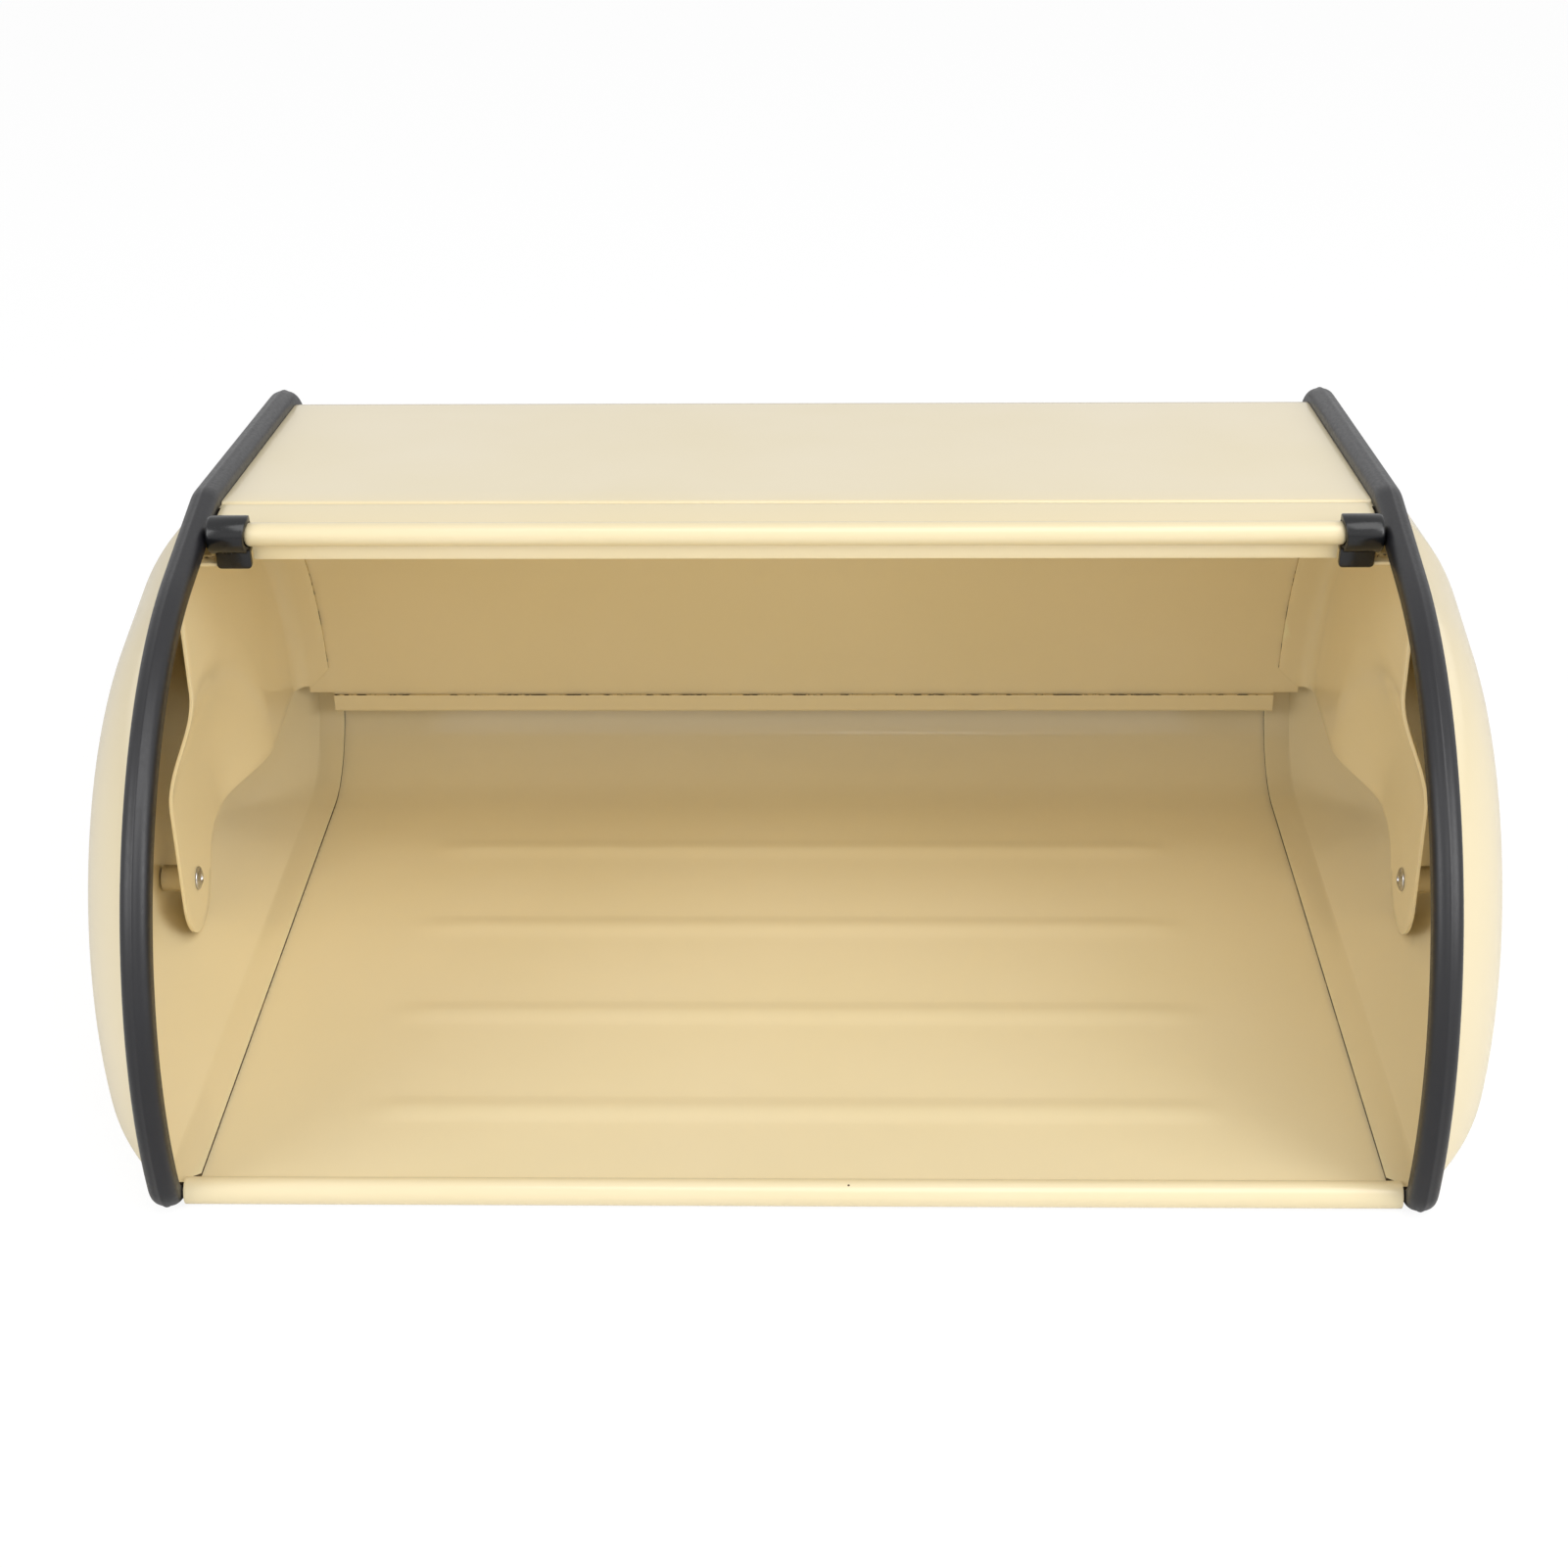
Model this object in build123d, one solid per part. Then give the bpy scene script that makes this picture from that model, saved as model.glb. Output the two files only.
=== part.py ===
"""Roll-top bread box in painted sheet steel, with a lid that swings over the front.

Lengths are millimetres, +X is the width, the box opens towards -Y and +Z is up.
The side outline is drawn in its own frame: z = 0 is the underside of the floor sheet and
y = 0 is where the floor ends at the front lip. Every piece is moved once, when it is
written, so that the box stands on z = 0 with its middle on the Z axis.
"""

import math
import os

from build123d import *

# Sheet metal and clearances
SHEET = 0.8
SEAT_GAP = 0.05
FIT = 0.1
RUNNING_GAP = 0.3

# Side outline of the box, measured to the outer skin
FRONT_ARC_R = 93.9
FRONT_REACH = 13.6
FRONT_ARC_Z = 26.4
FRONT_ARC_Y = FRONT_ARC_R - FRONT_REACH
TOP_CORNER_BACK = 15.7
TOP_CORNER_RISE = 5.0
TOP_CORNER_Y = FRONT_ARC_Y + TOP_CORNER_BACK
TOP_CORNER_Z = FRONT_ARC_Z + FRONT_ARC_R + TOP_CORNER_RISE
TOP_FALL_DEG = 5.0
FRONT_CORNER_R = 6.0
TOP_CORNER_R = 14.0
REAR_TOP_R = 18.0
REAR_BOTTOM_R = 28.0

# Widths, each from the middle of the box
FLOOR_SEAM_X = 134.0
SEAM_TO_TRIM = 3.2
TRIM_TO_RIM = 4.3
LIP_OVERHANG = 2.4
NECK_OFFSET = 12.9
BEAD_END_INSET = 5.6
RISER_END_INSET = 2.4
RIB_END_INSET = 28.5
TRIM_INNER_X = FLOOR_SEAM_X + SEAM_TO_TRIM
RIM_X = TRIM_INNER_X + TRIM_TO_RIM
LIP_HALF_LENGTH = FLOOR_SEAM_X + LIP_OVERHANG
LID_HALF_WIDTH = RIM_X + RUNNING_GAP
NECK_X = RIM_X + NECK_OFFSET
BEAD_HALF_LENGTH = FLOOR_SEAM_X - BEAD_END_INSET
GRIP_RISER_HALF_LENGTH = BEAD_HALF_LENGTH - RISER_END_INSET
RIB_LENGTH = 2 * (FLOOR_SEAM_X - RIB_END_INSET)

# Pivot and lid, in polar places about the pivot with the lid open
PIVOT_BACK = 17.7
PIVOT_DROP = 4.9
LID_EXTRA_R = 3.3
LID_TO_REAR_WALL = 9.4
PIVOT_Y = FRONT_ARC_Y + PIVOT_BACK
PIVOT_Z = FRONT_ARC_Z - PIVOT_DROP
LID_R = FRONT_ARC_R + LID_EXTRA_R
REAR_WALL_Y = PIVOT_Y + LID_R + LID_TO_REAR_WALL
LID_REAR_DEG = 1.0
LID_FRONT_DEG = 99.5
LID_HEM_LENGTH = 5.0

# Rolled bead along the lid's front
BEAD_R = 3.1
BEAD_RISE = 2.5
BEAD_CENTRE_R = LID_R + BEAD_R + BEAD_RISE

# Edge trim, a channel pushed over the rim of each side
TRIM_WIDTH = 6.6
TRIM_WALL = 1.4
TRIM_PROUD = 4.0

# Domed sides
DOME_BULGE = 23.0
DOME_FULLNESS = 4.87
CROWN_BACK = 1.5
CROWN_RISE = 10.1
DOME_CROWN_Y = PIVOT_Y + CROWN_BACK
DOME_CROWN_Z = PIVOT_Z + CROWN_RISE
DOME_STATIONS = (1.0, 0.96, 0.9, 0.8, 0.68, 0.52, 0.35)
RIM_HEM_WIDTH = 2.0
RIM_HEM_HEIGHT = 2.0
SKIRT_INSET = SHEET
SKIRT_SETBACK = 1.0

# Floor ribs
RIB_COUNT = 4
RIB_FIRST_Y = 24.0
RIB_PITCH = (REAR_WALL_Y - REAR_BOTTOM_R - RIB_FIRST_Y) / (RIB_COUNT - 0.4)
RIB_WIDTH = 9.0
RIB_HEIGHT = 1.4
RIB_DRAFT_DEG = 50.0

# Front lip and the folded front edge of the top panel
LIP_R = 3.1
LIP_REACH = 3.4
LIP_Y = -LIP_R - LIP_REACH
LIP_TOP_Z = 2.5
LIP_Z = LIP_TOP_Z - LIP_R
TOP_EDGE_SETBACK = 1.4
TOP_EDGE_Y = TOP_CORNER_Y - TOP_EDGE_SETBACK
TOP_HEM_DEPTH = 5.0

# Lid ends: flange, rounded corner, flat fan, soft joggle and neck
NECK_R = 14.0
JOGGLE_INNER_SHARE = 0.39
JOGGLE_OUTER_SHARE = 0.565
JOGGLE_BLEND_R = 28.0
FAN_SET_OUT = 4.6
JOGGLE_INNER_R = JOGGLE_INNER_SHARE * LID_R
JOGGLE_OUTER_R = JOGGLE_OUTER_SHARE * LID_R
FAN_REAR_DEG = 5.5
FAN_FRONT_RAKE_DEG = 2.0
FAN_FLANGE = 5.4
FAN_FLANGE_CHAMFER = 6.0
NECK_REAR_RISE = 3.4
NECK_FILLET_R = 14.0

# Pivots
RIVET_SHANK_R = 1.6
RIVET_HEAD_R = 3.1
RIVET_HEAD_H = 1.0
RIVET_MANDREL_R = 0.9
RIVET_ROUNDING = 0.7
BUSH_R = 3.4

# Bumper clips at the ends of the bead
CLIP_COVER = 1.2
CLIP_LENGTH = 9.6
CLIP_WALL = 1.4
CLIP_BACK = 2.25
CLIP_HEEL = 3.6
CLIP_TAB_DROP = 4.2
CLIP_TAB_WIDTH = 8.2
CLIP_TAB_THICKNESS = 1.8

# Values that follow from those above
TOP_SLOPE = math.tan(math.radians(TOP_FALL_DEG))
PIVOT = Vector(PIVOT_Y, PIVOT_Z)
TRIM_OUTER_X = TRIM_INNER_X + TRIM_WIDTH
BODY_HALF_WIDTH = TRIM_INNER_X - FIT
FLANGE_X = LID_HALF_WIDTH - SHEET
FAN_X = FLANGE_X + FAN_SET_OUT
LID_INNER_R = LID_R - SHEET
CLIP_START_X = BEAD_HALF_LENGTH - CLIP_COVER
DEPTH_MIDDLE = (REAR_WALL_Y - FRONT_REACH) / 2
BOX_PLACE = Pos(0, -DEPTH_MIDDLE, TRIM_PROUD)


def polar(radius, degrees, centre=PIVOT):
    """Return the side-view point at a radius and angle about a centre."""
    turn = math.radians(degrees)
    return (centre.X + radius * math.cos(turn), centre.Y + radius * math.sin(turn))


def side_outline(grow=0.0):
    """Return the D-shaped outline of the box, grown outwards by the given amount."""
    front_y = FRONT_ARC_Y - math.sqrt(FRONT_ARC_R**2 - FRONT_ARC_Z**2)
    reach_y = TOP_CORNER_Y - FRONT_ARC_Y
    reach_z = TOP_CORNER_Z - FRONT_ARC_Z
    reach = math.hypot(reach_y, reach_z)
    tangent_deg = math.degrees(math.atan2(reach_z, reach_y) + math.acos(FRONT_ARC_R / reach))
    foot_deg = 180 + math.degrees(math.asin(FRONT_ARC_Z / FRONT_ARC_R))
    arc_centre = Vector(FRONT_ARC_Y, FRONT_ARC_Z)
    tangent = polar(FRONT_ARC_R, tangent_deg, arc_centre)
    arc_middle = polar(FRONT_ARC_R, (tangent_deg + foot_deg) / 2, arc_centre)
    front_foot = (front_y, 0)
    rear_foot = (REAR_WALL_Y, 0)
    rear_top = (REAR_WALL_Y, TOP_CORNER_Z - (REAR_WALL_Y - TOP_CORNER_Y) * TOP_SLOPE)
    top_corner = (TOP_CORNER_Y, TOP_CORNER_Z)
    outline = make_face(
        [
            Line(front_foot, rear_foot),
            Line(rear_foot, rear_top),
            Line(rear_top, top_corner),
            Line(top_corner, tangent),
            ThreePointArc(tangent, arc_middle, front_foot),
        ]
    )
    corners = (
        (front_foot, FRONT_CORNER_R),
        (rear_foot, REAR_BOTTOM_R),
        (rear_top, REAR_TOP_R),
        (top_corner, TOP_CORNER_R),
    )
    for place, radius in corners:
        vertex = outline.vertices().sort_by_distance((place[0], place[1], 0))[0]
        outline = fillet(vertex, radius)
    if grow:
        outline = offset(outline, amount=grow)
    return outline


def side_band(inner, outer, start_x, end_x):
    """Return a ring that follows the side outline between two offsets and two widths."""
    ring = side_outline(outer) - side_outline(inner)
    return extrude(Plane.YZ.offset(start_x) * ring, end_x - start_x)


def across(section, half_width):
    """Extrude a side-view section over both sides of the middle."""
    return extrude(Plane.YZ.offset(-half_width) * section, 2 * half_width)


def front_opening(grow=0.0):
    """Return the part of the side view that the body sheet leaves open."""
    far = 2 * REAR_WALL_Y
    return make_face(
        Polyline(
            (-far, -far),
            (grow, -far),
            (grow, TOP_CORNER_Z / 2),
            (TOP_EDGE_Y + grow, TOP_CORNER_Z / 2),
            (TOP_EDGE_Y + grow, far),
            (-far, far),
            close=True,
        )
    )


def roll_section(centre, radius):
    """Return the ring of a rolled edge."""
    return Pos(*centre) * (Circle(radius) - Circle(radius - SHEET))


def lip_section():
    """Return the front lip: a roll and the short ramp of sheet that climbs to it."""
    centre = Vector(LIP_Y, LIP_Z)
    outer = polar(LIP_R - SHEET / 4, 60, centre)
    inner = polar(LIP_R - SHEET * 3 / 4, 20, centre)
    ramp = make_face(Polyline((FIT, 0), (FIT, SHEET), outer, inner, close=True))
    hollow = Pos(LIP_Y, LIP_Z) * Circle(LIP_R - SHEET)
    return roll_section((LIP_Y, LIP_Z), LIP_R) + (ramp - hollow)


def floor_ribs(drop):
    """Return the ribs pressed up from the floor, lowered by the given amount."""
    ribs = Part()
    for index in range(RIB_COUNT):
        place = Pos(0, RIB_FIRST_Y + index * RIB_PITCH, SHEET - drop)
        rib = extrude(SlotOverall(RIB_LENGTH, RIB_WIDTH), RIB_HEIGHT, taper=RIB_DRAFT_DEG)
        ribs += place * rib
    return ribs


def body_shell():
    """Return the one sheet that makes the lip, floor, back and top of the box."""
    wrap = side_outline() - side_outline(-SHEET) - front_opening()
    hem_z = TOP_CORNER_Z - SHEET * 1.5
    hem = Pos(TOP_EDGE_Y + TOP_HEM_DEPTH / 2, hem_z) * Rot(0, 0, -TOP_FALL_DEG) * RectangleRounded(
        TOP_HEM_DEPTH, 2 * SHEET, SHEET * 0.95
    )
    shell = across(wrap, BODY_HALF_WIDTH) + across(hem, FLOOR_SEAM_X - RUNNING_GAP)
    shell += across(lip_section(), LIP_HALF_LENGTH)
    return shell + floor_ribs(0) - floor_ribs(SHEET)


def dome_solid(inset, bulge):
    """Return the filled dome over the outline, inset by one amount and bulging by another."""
    rim = side_outline(-inset)
    crown = Vector(DOME_CROWN_Y, DOME_CROWN_Z)
    sections = []
    for share in DOME_STATIONS:
        rise = bulge * (1 - share**DOME_FULLNESS)
        shrunk = Pos(crown.X, crown.Y) * scale(Pos(-crown.X, -crown.Y) * rim, by=share)
        sections.append(Plane.YZ.offset(RIM_X + rise) * shrunk)
    return loft(sections)


def dome_hollow():
    """Return the space inside the dome."""
    return dome_solid(SKIRT_INSET + SHEET, DOME_BULGE - SHEET)


def right_side_dome():
    """Return the deep-drawn right side with its skirt and the hem inside the trim."""
    wall = dome_solid(SKIRT_INSET, DOME_BULGE) - dome_hollow()
    skirt = side_band(-SKIRT_INSET - SHEET, -SKIRT_INSET, FLOOR_SEAM_X, RIM_X)
    skirt -= extrude(Plane.YZ * front_opening(SKIRT_SETBACK), TRIM_INNER_X + TRIM_WALL)
    hem = side_band(-SKIRT_INSET, RIM_HEM_HEIGHT, RIM_X - RIM_HEM_WIDTH, RIM_X)
    return wall + skirt + hem - pivot_disc(RIVET_SHANK_R + SEAT_GAP, 0, 2 * RIM_X)


def right_edge_trim():
    """Return the channel that runs all round the rim, with a long leg inside the box."""
    web_inner = TRIM_PROUD - TRIM_WALL
    outer_leg_x = TRIM_OUTER_X - TRIM_WALL
    channel = side_band(web_inner, TRIM_PROUD, TRIM_INNER_X, TRIM_OUTER_X)
    channel += side_band(-SKIRT_INSET, web_inner, TRIM_INNER_X, TRIM_INNER_X + TRIM_WALL)
    channel += side_band(RUNNING_GAP, web_inner, outer_leg_x, TRIM_OUTER_X)
    return channel


def pivot_disc(radius, start_x, end_x):
    """Return a round bar on the pivot axis between two widths."""
    return extrude(Plane.YZ.offset(start_x) * (Pos(PIVOT_Y, PIVOT_Z) * Circle(radius)), end_x - start_x)


def lid_sector(inner_r, outer_r, start_deg, end_deg):
    """Return a ring sector about the pivot, in the side view."""
    ring = Circle(outer_r) - Circle(inner_r)
    far = 2 * LID_R
    middle = polar(far, (start_deg + end_deg) / 2, Vector(0, 0))
    start = polar(far, start_deg, Vector(0, 0))
    end = polar(far, end_deg, Vector(0, 0))
    wedge = make_face(Polyline((0, 0), start, middle, end, close=True))
    return Pos(PIVOT_Y, PIVOT_Z) * (ring & wedge)


def at_bead(sketch):
    """Place a sketch on the bead's centre, with its own +X pointing away from the pivot."""
    return Pos(*polar(BEAD_CENTRE_R, LID_FRONT_DEG)) * Rot(0, 0, LID_FRONT_DEG) * sketch


def lid_sheet():
    """Return the curved lid sheet with its rear hem, front riser and rolled bead."""
    hem_deg = math.degrees(LID_HEM_LENGTH / LID_R)
    hem_half_width = FLANGE_X - FAN_FLANGE - RUNNING_GAP
    sheet = across(lid_sector(LID_INNER_R, LID_R, LID_REAR_DEG, LID_FRONT_DEG), LID_HALF_WIDTH)
    hem = lid_sector(LID_INNER_R - SHEET, LID_INNER_R, LID_REAR_DEG, LID_REAR_DEG + hem_deg)
    sheet += across(hem, hem_half_width)
    riser_top = SHEET - BEAD_R
    riser_foot = LID_INNER_R - BEAD_CENTRE_R
    riser = Pos((riser_top + riser_foot) / 2, SHEET / 2) * Rectangle(riser_top - riser_foot, SHEET)
    sheet += across(at_bead(riser), GRIP_RISER_HALF_LENGTH)
    bead = roll_section((0, 0), BEAD_R)
    return sheet + across(at_bead(bead), BEAD_HALF_LENGTH)


def lid_end_dish():
    """Return the round dish that a lid end is cut from: neck, joggle, fan and flange."""
    flange_r = LID_INNER_R - SEAT_GAP
    flange_end_x = FLANGE_X - FAN_FLANGE
    neck_outer_x = NECK_X + SHEET
    fan_outer_x = FAN_X + SHEET
    far = NECK_R
    fan_corner = (fan_outer_x, flange_r)
    joggle_outer = (fan_outer_x, JOGGLE_OUTER_R)
    joggle_inner = (neck_outer_x, JOGGLE_INNER_R)
    filled = make_face(
        Polyline(
            (flange_end_x - far, -far),
            (neck_outer_x, -far),
            joggle_inner,
            joggle_outer,
            fan_corner,
            (flange_end_x - far, flange_r),
            close=True,
        )
    )
    corners = (
        (fan_corner, FAN_SET_OUT + SHEET),
        (joggle_outer, JOGGLE_BLEND_R),
        (joggle_inner, JOGGLE_BLEND_R),
    )
    for place, radius in corners:
        vertex = filled.vertices().sort_by_distance((*place, 0))[0]
        filled = fillet(vertex, radius)
    wall = filled - offset(filled, amount=-SHEET)
    kept = Pos(flange_end_x, 0) * Rectangle(2 * far, 2 * LID_R, align=(Align.MIN, Align.MIN))
    return Pos(0, PIVOT_Y, PIVOT_Z) * revolve(wall & kept, Axis.X)


def lid_end_outline():
    """Return the side view of a lid end: a round neck that widens to a fan."""
    far = 1.2 * LID_R
    middle = Vector(0, 0)
    front_deg = 90 + FAN_FRONT_RAKE_DEG
    front_foot = polar(NECK_R, front_deg + 90, middle)
    front_far = polar(far, front_deg, Vector(*front_foot))
    corner = polar(far * 1.4, (front_deg + FAN_REAR_DEG) / 2, middle)
    rear_far = polar(far, FAN_REAR_DEG, middle)
    waist = (math.sqrt(NECK_R**2 - NECK_REAR_RISE**2), NECK_REAR_RISE)
    fan = make_face(Polyline(middle, front_foot, front_far, corner, rear_far, waist, close=True))
    outline = fan + Circle(NECK_R)
    vertex = outline.vertices().sort_by_distance((*waist, 0))[0]
    return Pos(PIVOT_Y, PIVOT_Z) * fillet(vertex, NECK_FILLET_R)


def right_lid_end():
    """Return the right end of the lid, with its flange corner cut off at the rear."""
    blank = extrude(Plane.YZ * lid_end_outline(), 2 * RIM_X)
    end = lid_end_dish() & blank
    corner_y, corner_z = polar(LID_R, FAN_REAR_DEG)
    turn = math.radians(FAN_REAR_DEG)
    face = Plane(
        origin=(0, corner_y, corner_z),
        x_dir=(1, 0, 0),
        z_dir=(0, -math.cos(turn), -math.sin(turn)),
    )
    side = -1 if face.y_dir.Z < 0 else 1
    inner_x = FLANGE_X - FAN_FLANGE - FIT
    cut = make_face(
        Polyline(
            (inner_x, -side),
            (FLANGE_X - SHEET, -side),
            (inner_x, side * FAN_FLANGE_CHAMFER),
            close=True,
        )
    )
    end -= extrude(face * cut, FAN_FLANGE)
    return end - pivot_disc(RIVET_SHANK_R + SEAT_GAP, 0, 2 * RIM_X)


def dome_x(share):
    """Return how far out the dome's outer skin is, at a share of the way to its rim."""
    return RIM_X + DOME_BULGE * (1 - share**DOME_FULLNESS)


def right_pivot_bush():
    """Return the bush that keeps the lid end off the dome."""
    bar = pivot_disc(BUSH_R, NECK_X + SHEET + FIT, 2 * RIM_X)
    bush = bar & dome_hollow()
    return bush - pivot_disc(RIVET_SHANK_R + SEAT_GAP, 0, 2 * RIM_X)


def right_pivot_rivet():
    """Return the hollow rivet that the lid turns on, with a head at both ends."""
    inner_head_x = NECK_X - FIT
    share = (DOME_CROWN_Z - PIVOT_Z) / (DOME_CROWN_Z - SKIRT_INSET)
    outer_head_x = dome_x(share) + SEAT_GAP
    shank = pivot_disc(RIVET_SHANK_R, inner_head_x, outer_head_x)
    inner_head = pivot_disc(RIVET_HEAD_R, inner_head_x - RIVET_HEAD_H, inner_head_x)
    rim = inner_head.edges().filter_by(GeomType.CIRCLE).sort_by(Axis.X)[0]
    inner_head = fillet(rim, RIVET_ROUNDING)
    outer_head = pivot_disc(RIVET_HEAD_R, outer_head_x, outer_head_x + RIVET_HEAD_H)
    recess = pivot_disc(RIVET_MANDREL_R, inner_head_x - 2 * RIVET_HEAD_H, inner_head_x + RIVET_HEAD_H)
    return shank + inner_head + outer_head - recess


def right_bead_clip():
    """Return the plastic bumper on the bead's end: a C round the bead and a flat tab."""
    outer_r = BEAD_R + CLIP_WALL
    start_x = CLIP_START_X
    round_part = Circle(outer_r)
    rear_cut = Pos(-CLIP_HEEL, -CLIP_BACK) * Rectangle(
        4 * outer_r, 2 * outer_r, align=(Align.MIN, Align.MAX)
    )
    shape = round_part - rear_cut
    clip = extrude(Plane.YZ.offset(start_x) * at_bead(shape), CLIP_LENGTH)
    bore = at_bead(Circle(BEAD_R + SEAT_GAP))
    clip -= extrude(Plane.YZ.offset(start_x) * bore, BEAD_HALF_LENGTH + SEAT_GAP - start_x)
    tab_x = start_x - FIT
    tab_foot = -outer_r - CLIP_TAB_DROP
    tab_top = -BEAD_R - SEAT_GAP
    tab_y = SHEET + FIT + CLIP_TAB_THICKNESS / 2
    tab_section = Pos((tab_foot + tab_top) / 2, tab_y) * Rectangle(tab_top - tab_foot, CLIP_TAB_THICKNESS)
    tab = extrude(Plane.YZ.offset(tab_x) * at_bead(tab_section), CLIP_TAB_WIDTH)
    return clip + tab


def write(node, piece):
    """Move a piece to its place in the box and write it to its own file."""
    piece = BOX_PLACE * piece
    export_step(piece, os.path.join("parts", node + ".step"))


def main():
    """Build every piece and write it."""
    os.makedirs("parts", exist_ok=True)
    write("body_shell", body_shell())
    write("lid_sheet", lid_sheet())
    handed = {
        "side_dome": right_side_dome(),
        "edge_trim": right_edge_trim(),
        "lid_end": right_lid_end(),
        "pivot_bush": right_pivot_bush(),
        "pivot_rivet": right_pivot_rivet(),
        "bead_clip": right_bead_clip(),
    }
    for name, piece in handed.items():
        write("right_" + name, piece)
        write("left_" + name, mirror(piece, Plane.YZ))


main()
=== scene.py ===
"""Dressed model of a roll-top bread box in cream enamelled sheet steel.

Every piece is drawn in the side-view frame of the maker's drawing, in millimetres: x is the
width from the middle, y = 0 is where the floor ends at the front lip and z = 0 is the
underside of the floor sheet. ``to_row`` moves the points to the shared frame, in metres.
"""

from __future__ import annotations

import logging
import math
from dataclasses import dataclass, field
from enum import Enum
from typing import Any, Iterable, Sequence

import bmesh
import bpy
import numpy as np
from mathutils import Matrix, Vector

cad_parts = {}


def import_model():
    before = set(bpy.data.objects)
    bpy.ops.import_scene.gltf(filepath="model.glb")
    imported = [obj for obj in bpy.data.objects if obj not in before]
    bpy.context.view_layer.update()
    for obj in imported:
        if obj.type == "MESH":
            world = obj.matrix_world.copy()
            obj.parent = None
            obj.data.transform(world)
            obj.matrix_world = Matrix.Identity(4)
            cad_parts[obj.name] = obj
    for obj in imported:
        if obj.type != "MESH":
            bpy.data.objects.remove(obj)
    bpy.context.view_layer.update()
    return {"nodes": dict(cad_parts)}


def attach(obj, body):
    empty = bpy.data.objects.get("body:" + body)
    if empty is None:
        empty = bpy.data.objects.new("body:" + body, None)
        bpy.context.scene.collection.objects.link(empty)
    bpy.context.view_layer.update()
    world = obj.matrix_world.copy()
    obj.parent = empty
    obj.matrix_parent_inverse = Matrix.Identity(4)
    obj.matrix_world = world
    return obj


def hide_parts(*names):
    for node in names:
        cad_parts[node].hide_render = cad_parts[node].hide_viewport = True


LOG = logging.getLogger("bread_box")

Material = bpy.types.Material
Piece = bpy.types.Object
Socket = bpy.types.NodeSocket
Pair = tuple[float, float]
Number = float | np.ndarray

MM = 0.001
SHEET = 0.8
DEPTH_MIDDLE = 95.5
STAND_HEIGHT = 4.0
# Above this height, mm, a point of the side outline is at the top and not at the foot.
UPPER_Z = 60.0
# Most values of a noise lie between these.
NOISE_BODY = (0.3, 0.7)
FULL_RANGE = (0.0, 1.0)
# Two places nearer than this, mm, count as one when a sheet's quads are chosen.
GAP = 0.001
WHITE = (1.0, 1.0, 1.0, 1.0)


class Body(Enum):
    """The two rigid bodies that pieces ride on."""

    BOX = "box"
    LID = "lid"


class Slot(Enum):
    """The record's material slots."""

    ENAMEL = "cream_enamel"
    TRIM = "edge_trim"
    CLIP = "bumper_clip"
    RIVET = "rivet"
    BUSH = "bush"


class Side(Enum):
    """Which end of the box a piece is on, as the sign of its x."""

    LEFT = -1
    RIGHT = 1

    @property
    def word(self) -> str:
        """Return the side's name as the nodes spell it."""
        return self.name.lower()


def to_row(points: np.ndarray) -> np.ndarray:
    """Move drawing points to the shared frame.

    Args:
        points: Millimetre points, last axis x, y, z.

    Returns:
        The same points in metres, in the shared frame.
    """
    return (points + np.array([0.0, -DEPTH_MIDDLE, STAND_HEIGHT])) * MM


def polar(radius: Number, degrees: Number, centre: Sequence[float]) -> np.ndarray:
    """Return points at a radius and angle about a centre, as a rule in the side view.

    Args:
        radius: Distance from the centre, mm.
        degrees: Angle from the first axis towards the second, so from +Y towards +Z.
        centre: The centre's two coordinates, mm.

    Returns:
        Each point's two coordinates, mm, as the last axis.
    """
    turn = np.radians(degrees)
    first, second = centre[0] + radius * np.cos(turn), centre[1] + radius * np.sin(turn)
    return np.stack([first, second], axis=-1)


def smooth_step(value: Number) -> Number:
    """Return a soft 0 to 1 ramp of a value that is clipped to 0 to 1."""
    clipped = np.clip(value, 0.0, 1.0)
    return clipped * clipped * (3.0 - 2.0 * clipped)


def mirrored(half: np.ndarray) -> np.ndarray:
    """Return rising values from 0 with their mirror image before them."""
    return np.concatenate([-half[:0:-1], half])


def stacked(across: np.ndarray, sides: np.ndarray) -> np.ndarray:
    """Return a grid of points from their x and their side-view places.

    Args:
        across: Each point's x, or one for each row or each column, mm.
        sides: Each point's y and z, or one pair for each row, mm.

    Returns:
        An array of rows, columns and x, y, z, mm.
    """
    points = np.empty((*np.broadcast_shapes(across.shape, sides.shape[:2]), 3))
    points[:, :, 0] = across
    points[:, :, 1:] = sides
    return points


def per_mm(size: float) -> float:
    """Return a pattern's scale from the size of its cells in mm."""
    return 1.0 / (size * MM)


def srgb(code: str) -> tuple[float, float, float, float]:
    """Turn an sRGB hex colour to the linear values that Blender takes.

    Args:
        code: Six hex digits.

    Returns:
        Linear red, green, blue and an alpha of 1.
    """
    channels = [int(code[i : i + 2], 16) / 255.0 for i in (0, 2, 4)]
    linear = [c / 12.92 if c <= 0.04045 else ((c + 0.055) / 1.055) ** 2.4 for c in channels]
    return (linear[0], linear[1], linear[2], 1.0)


@dataclass(frozen=True)
class Arc:
    """One rounded corner of the side outline."""

    centre: Sequence[float]
    radius: float
    start_deg: float
    end_deg: float
    steps: int

    def points(self, grow: float) -> np.ndarray:
        """Return the arc's points with its radius grown.

        Args:
            grow: How much larger the radius is, mm.

        Returns:
            An array of y and z, mm.
        """
        turns = np.linspace(self.start_deg, self.end_deg, self.steps + 1)
        return polar(self.radius + grow, turns, self.centre)


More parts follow.
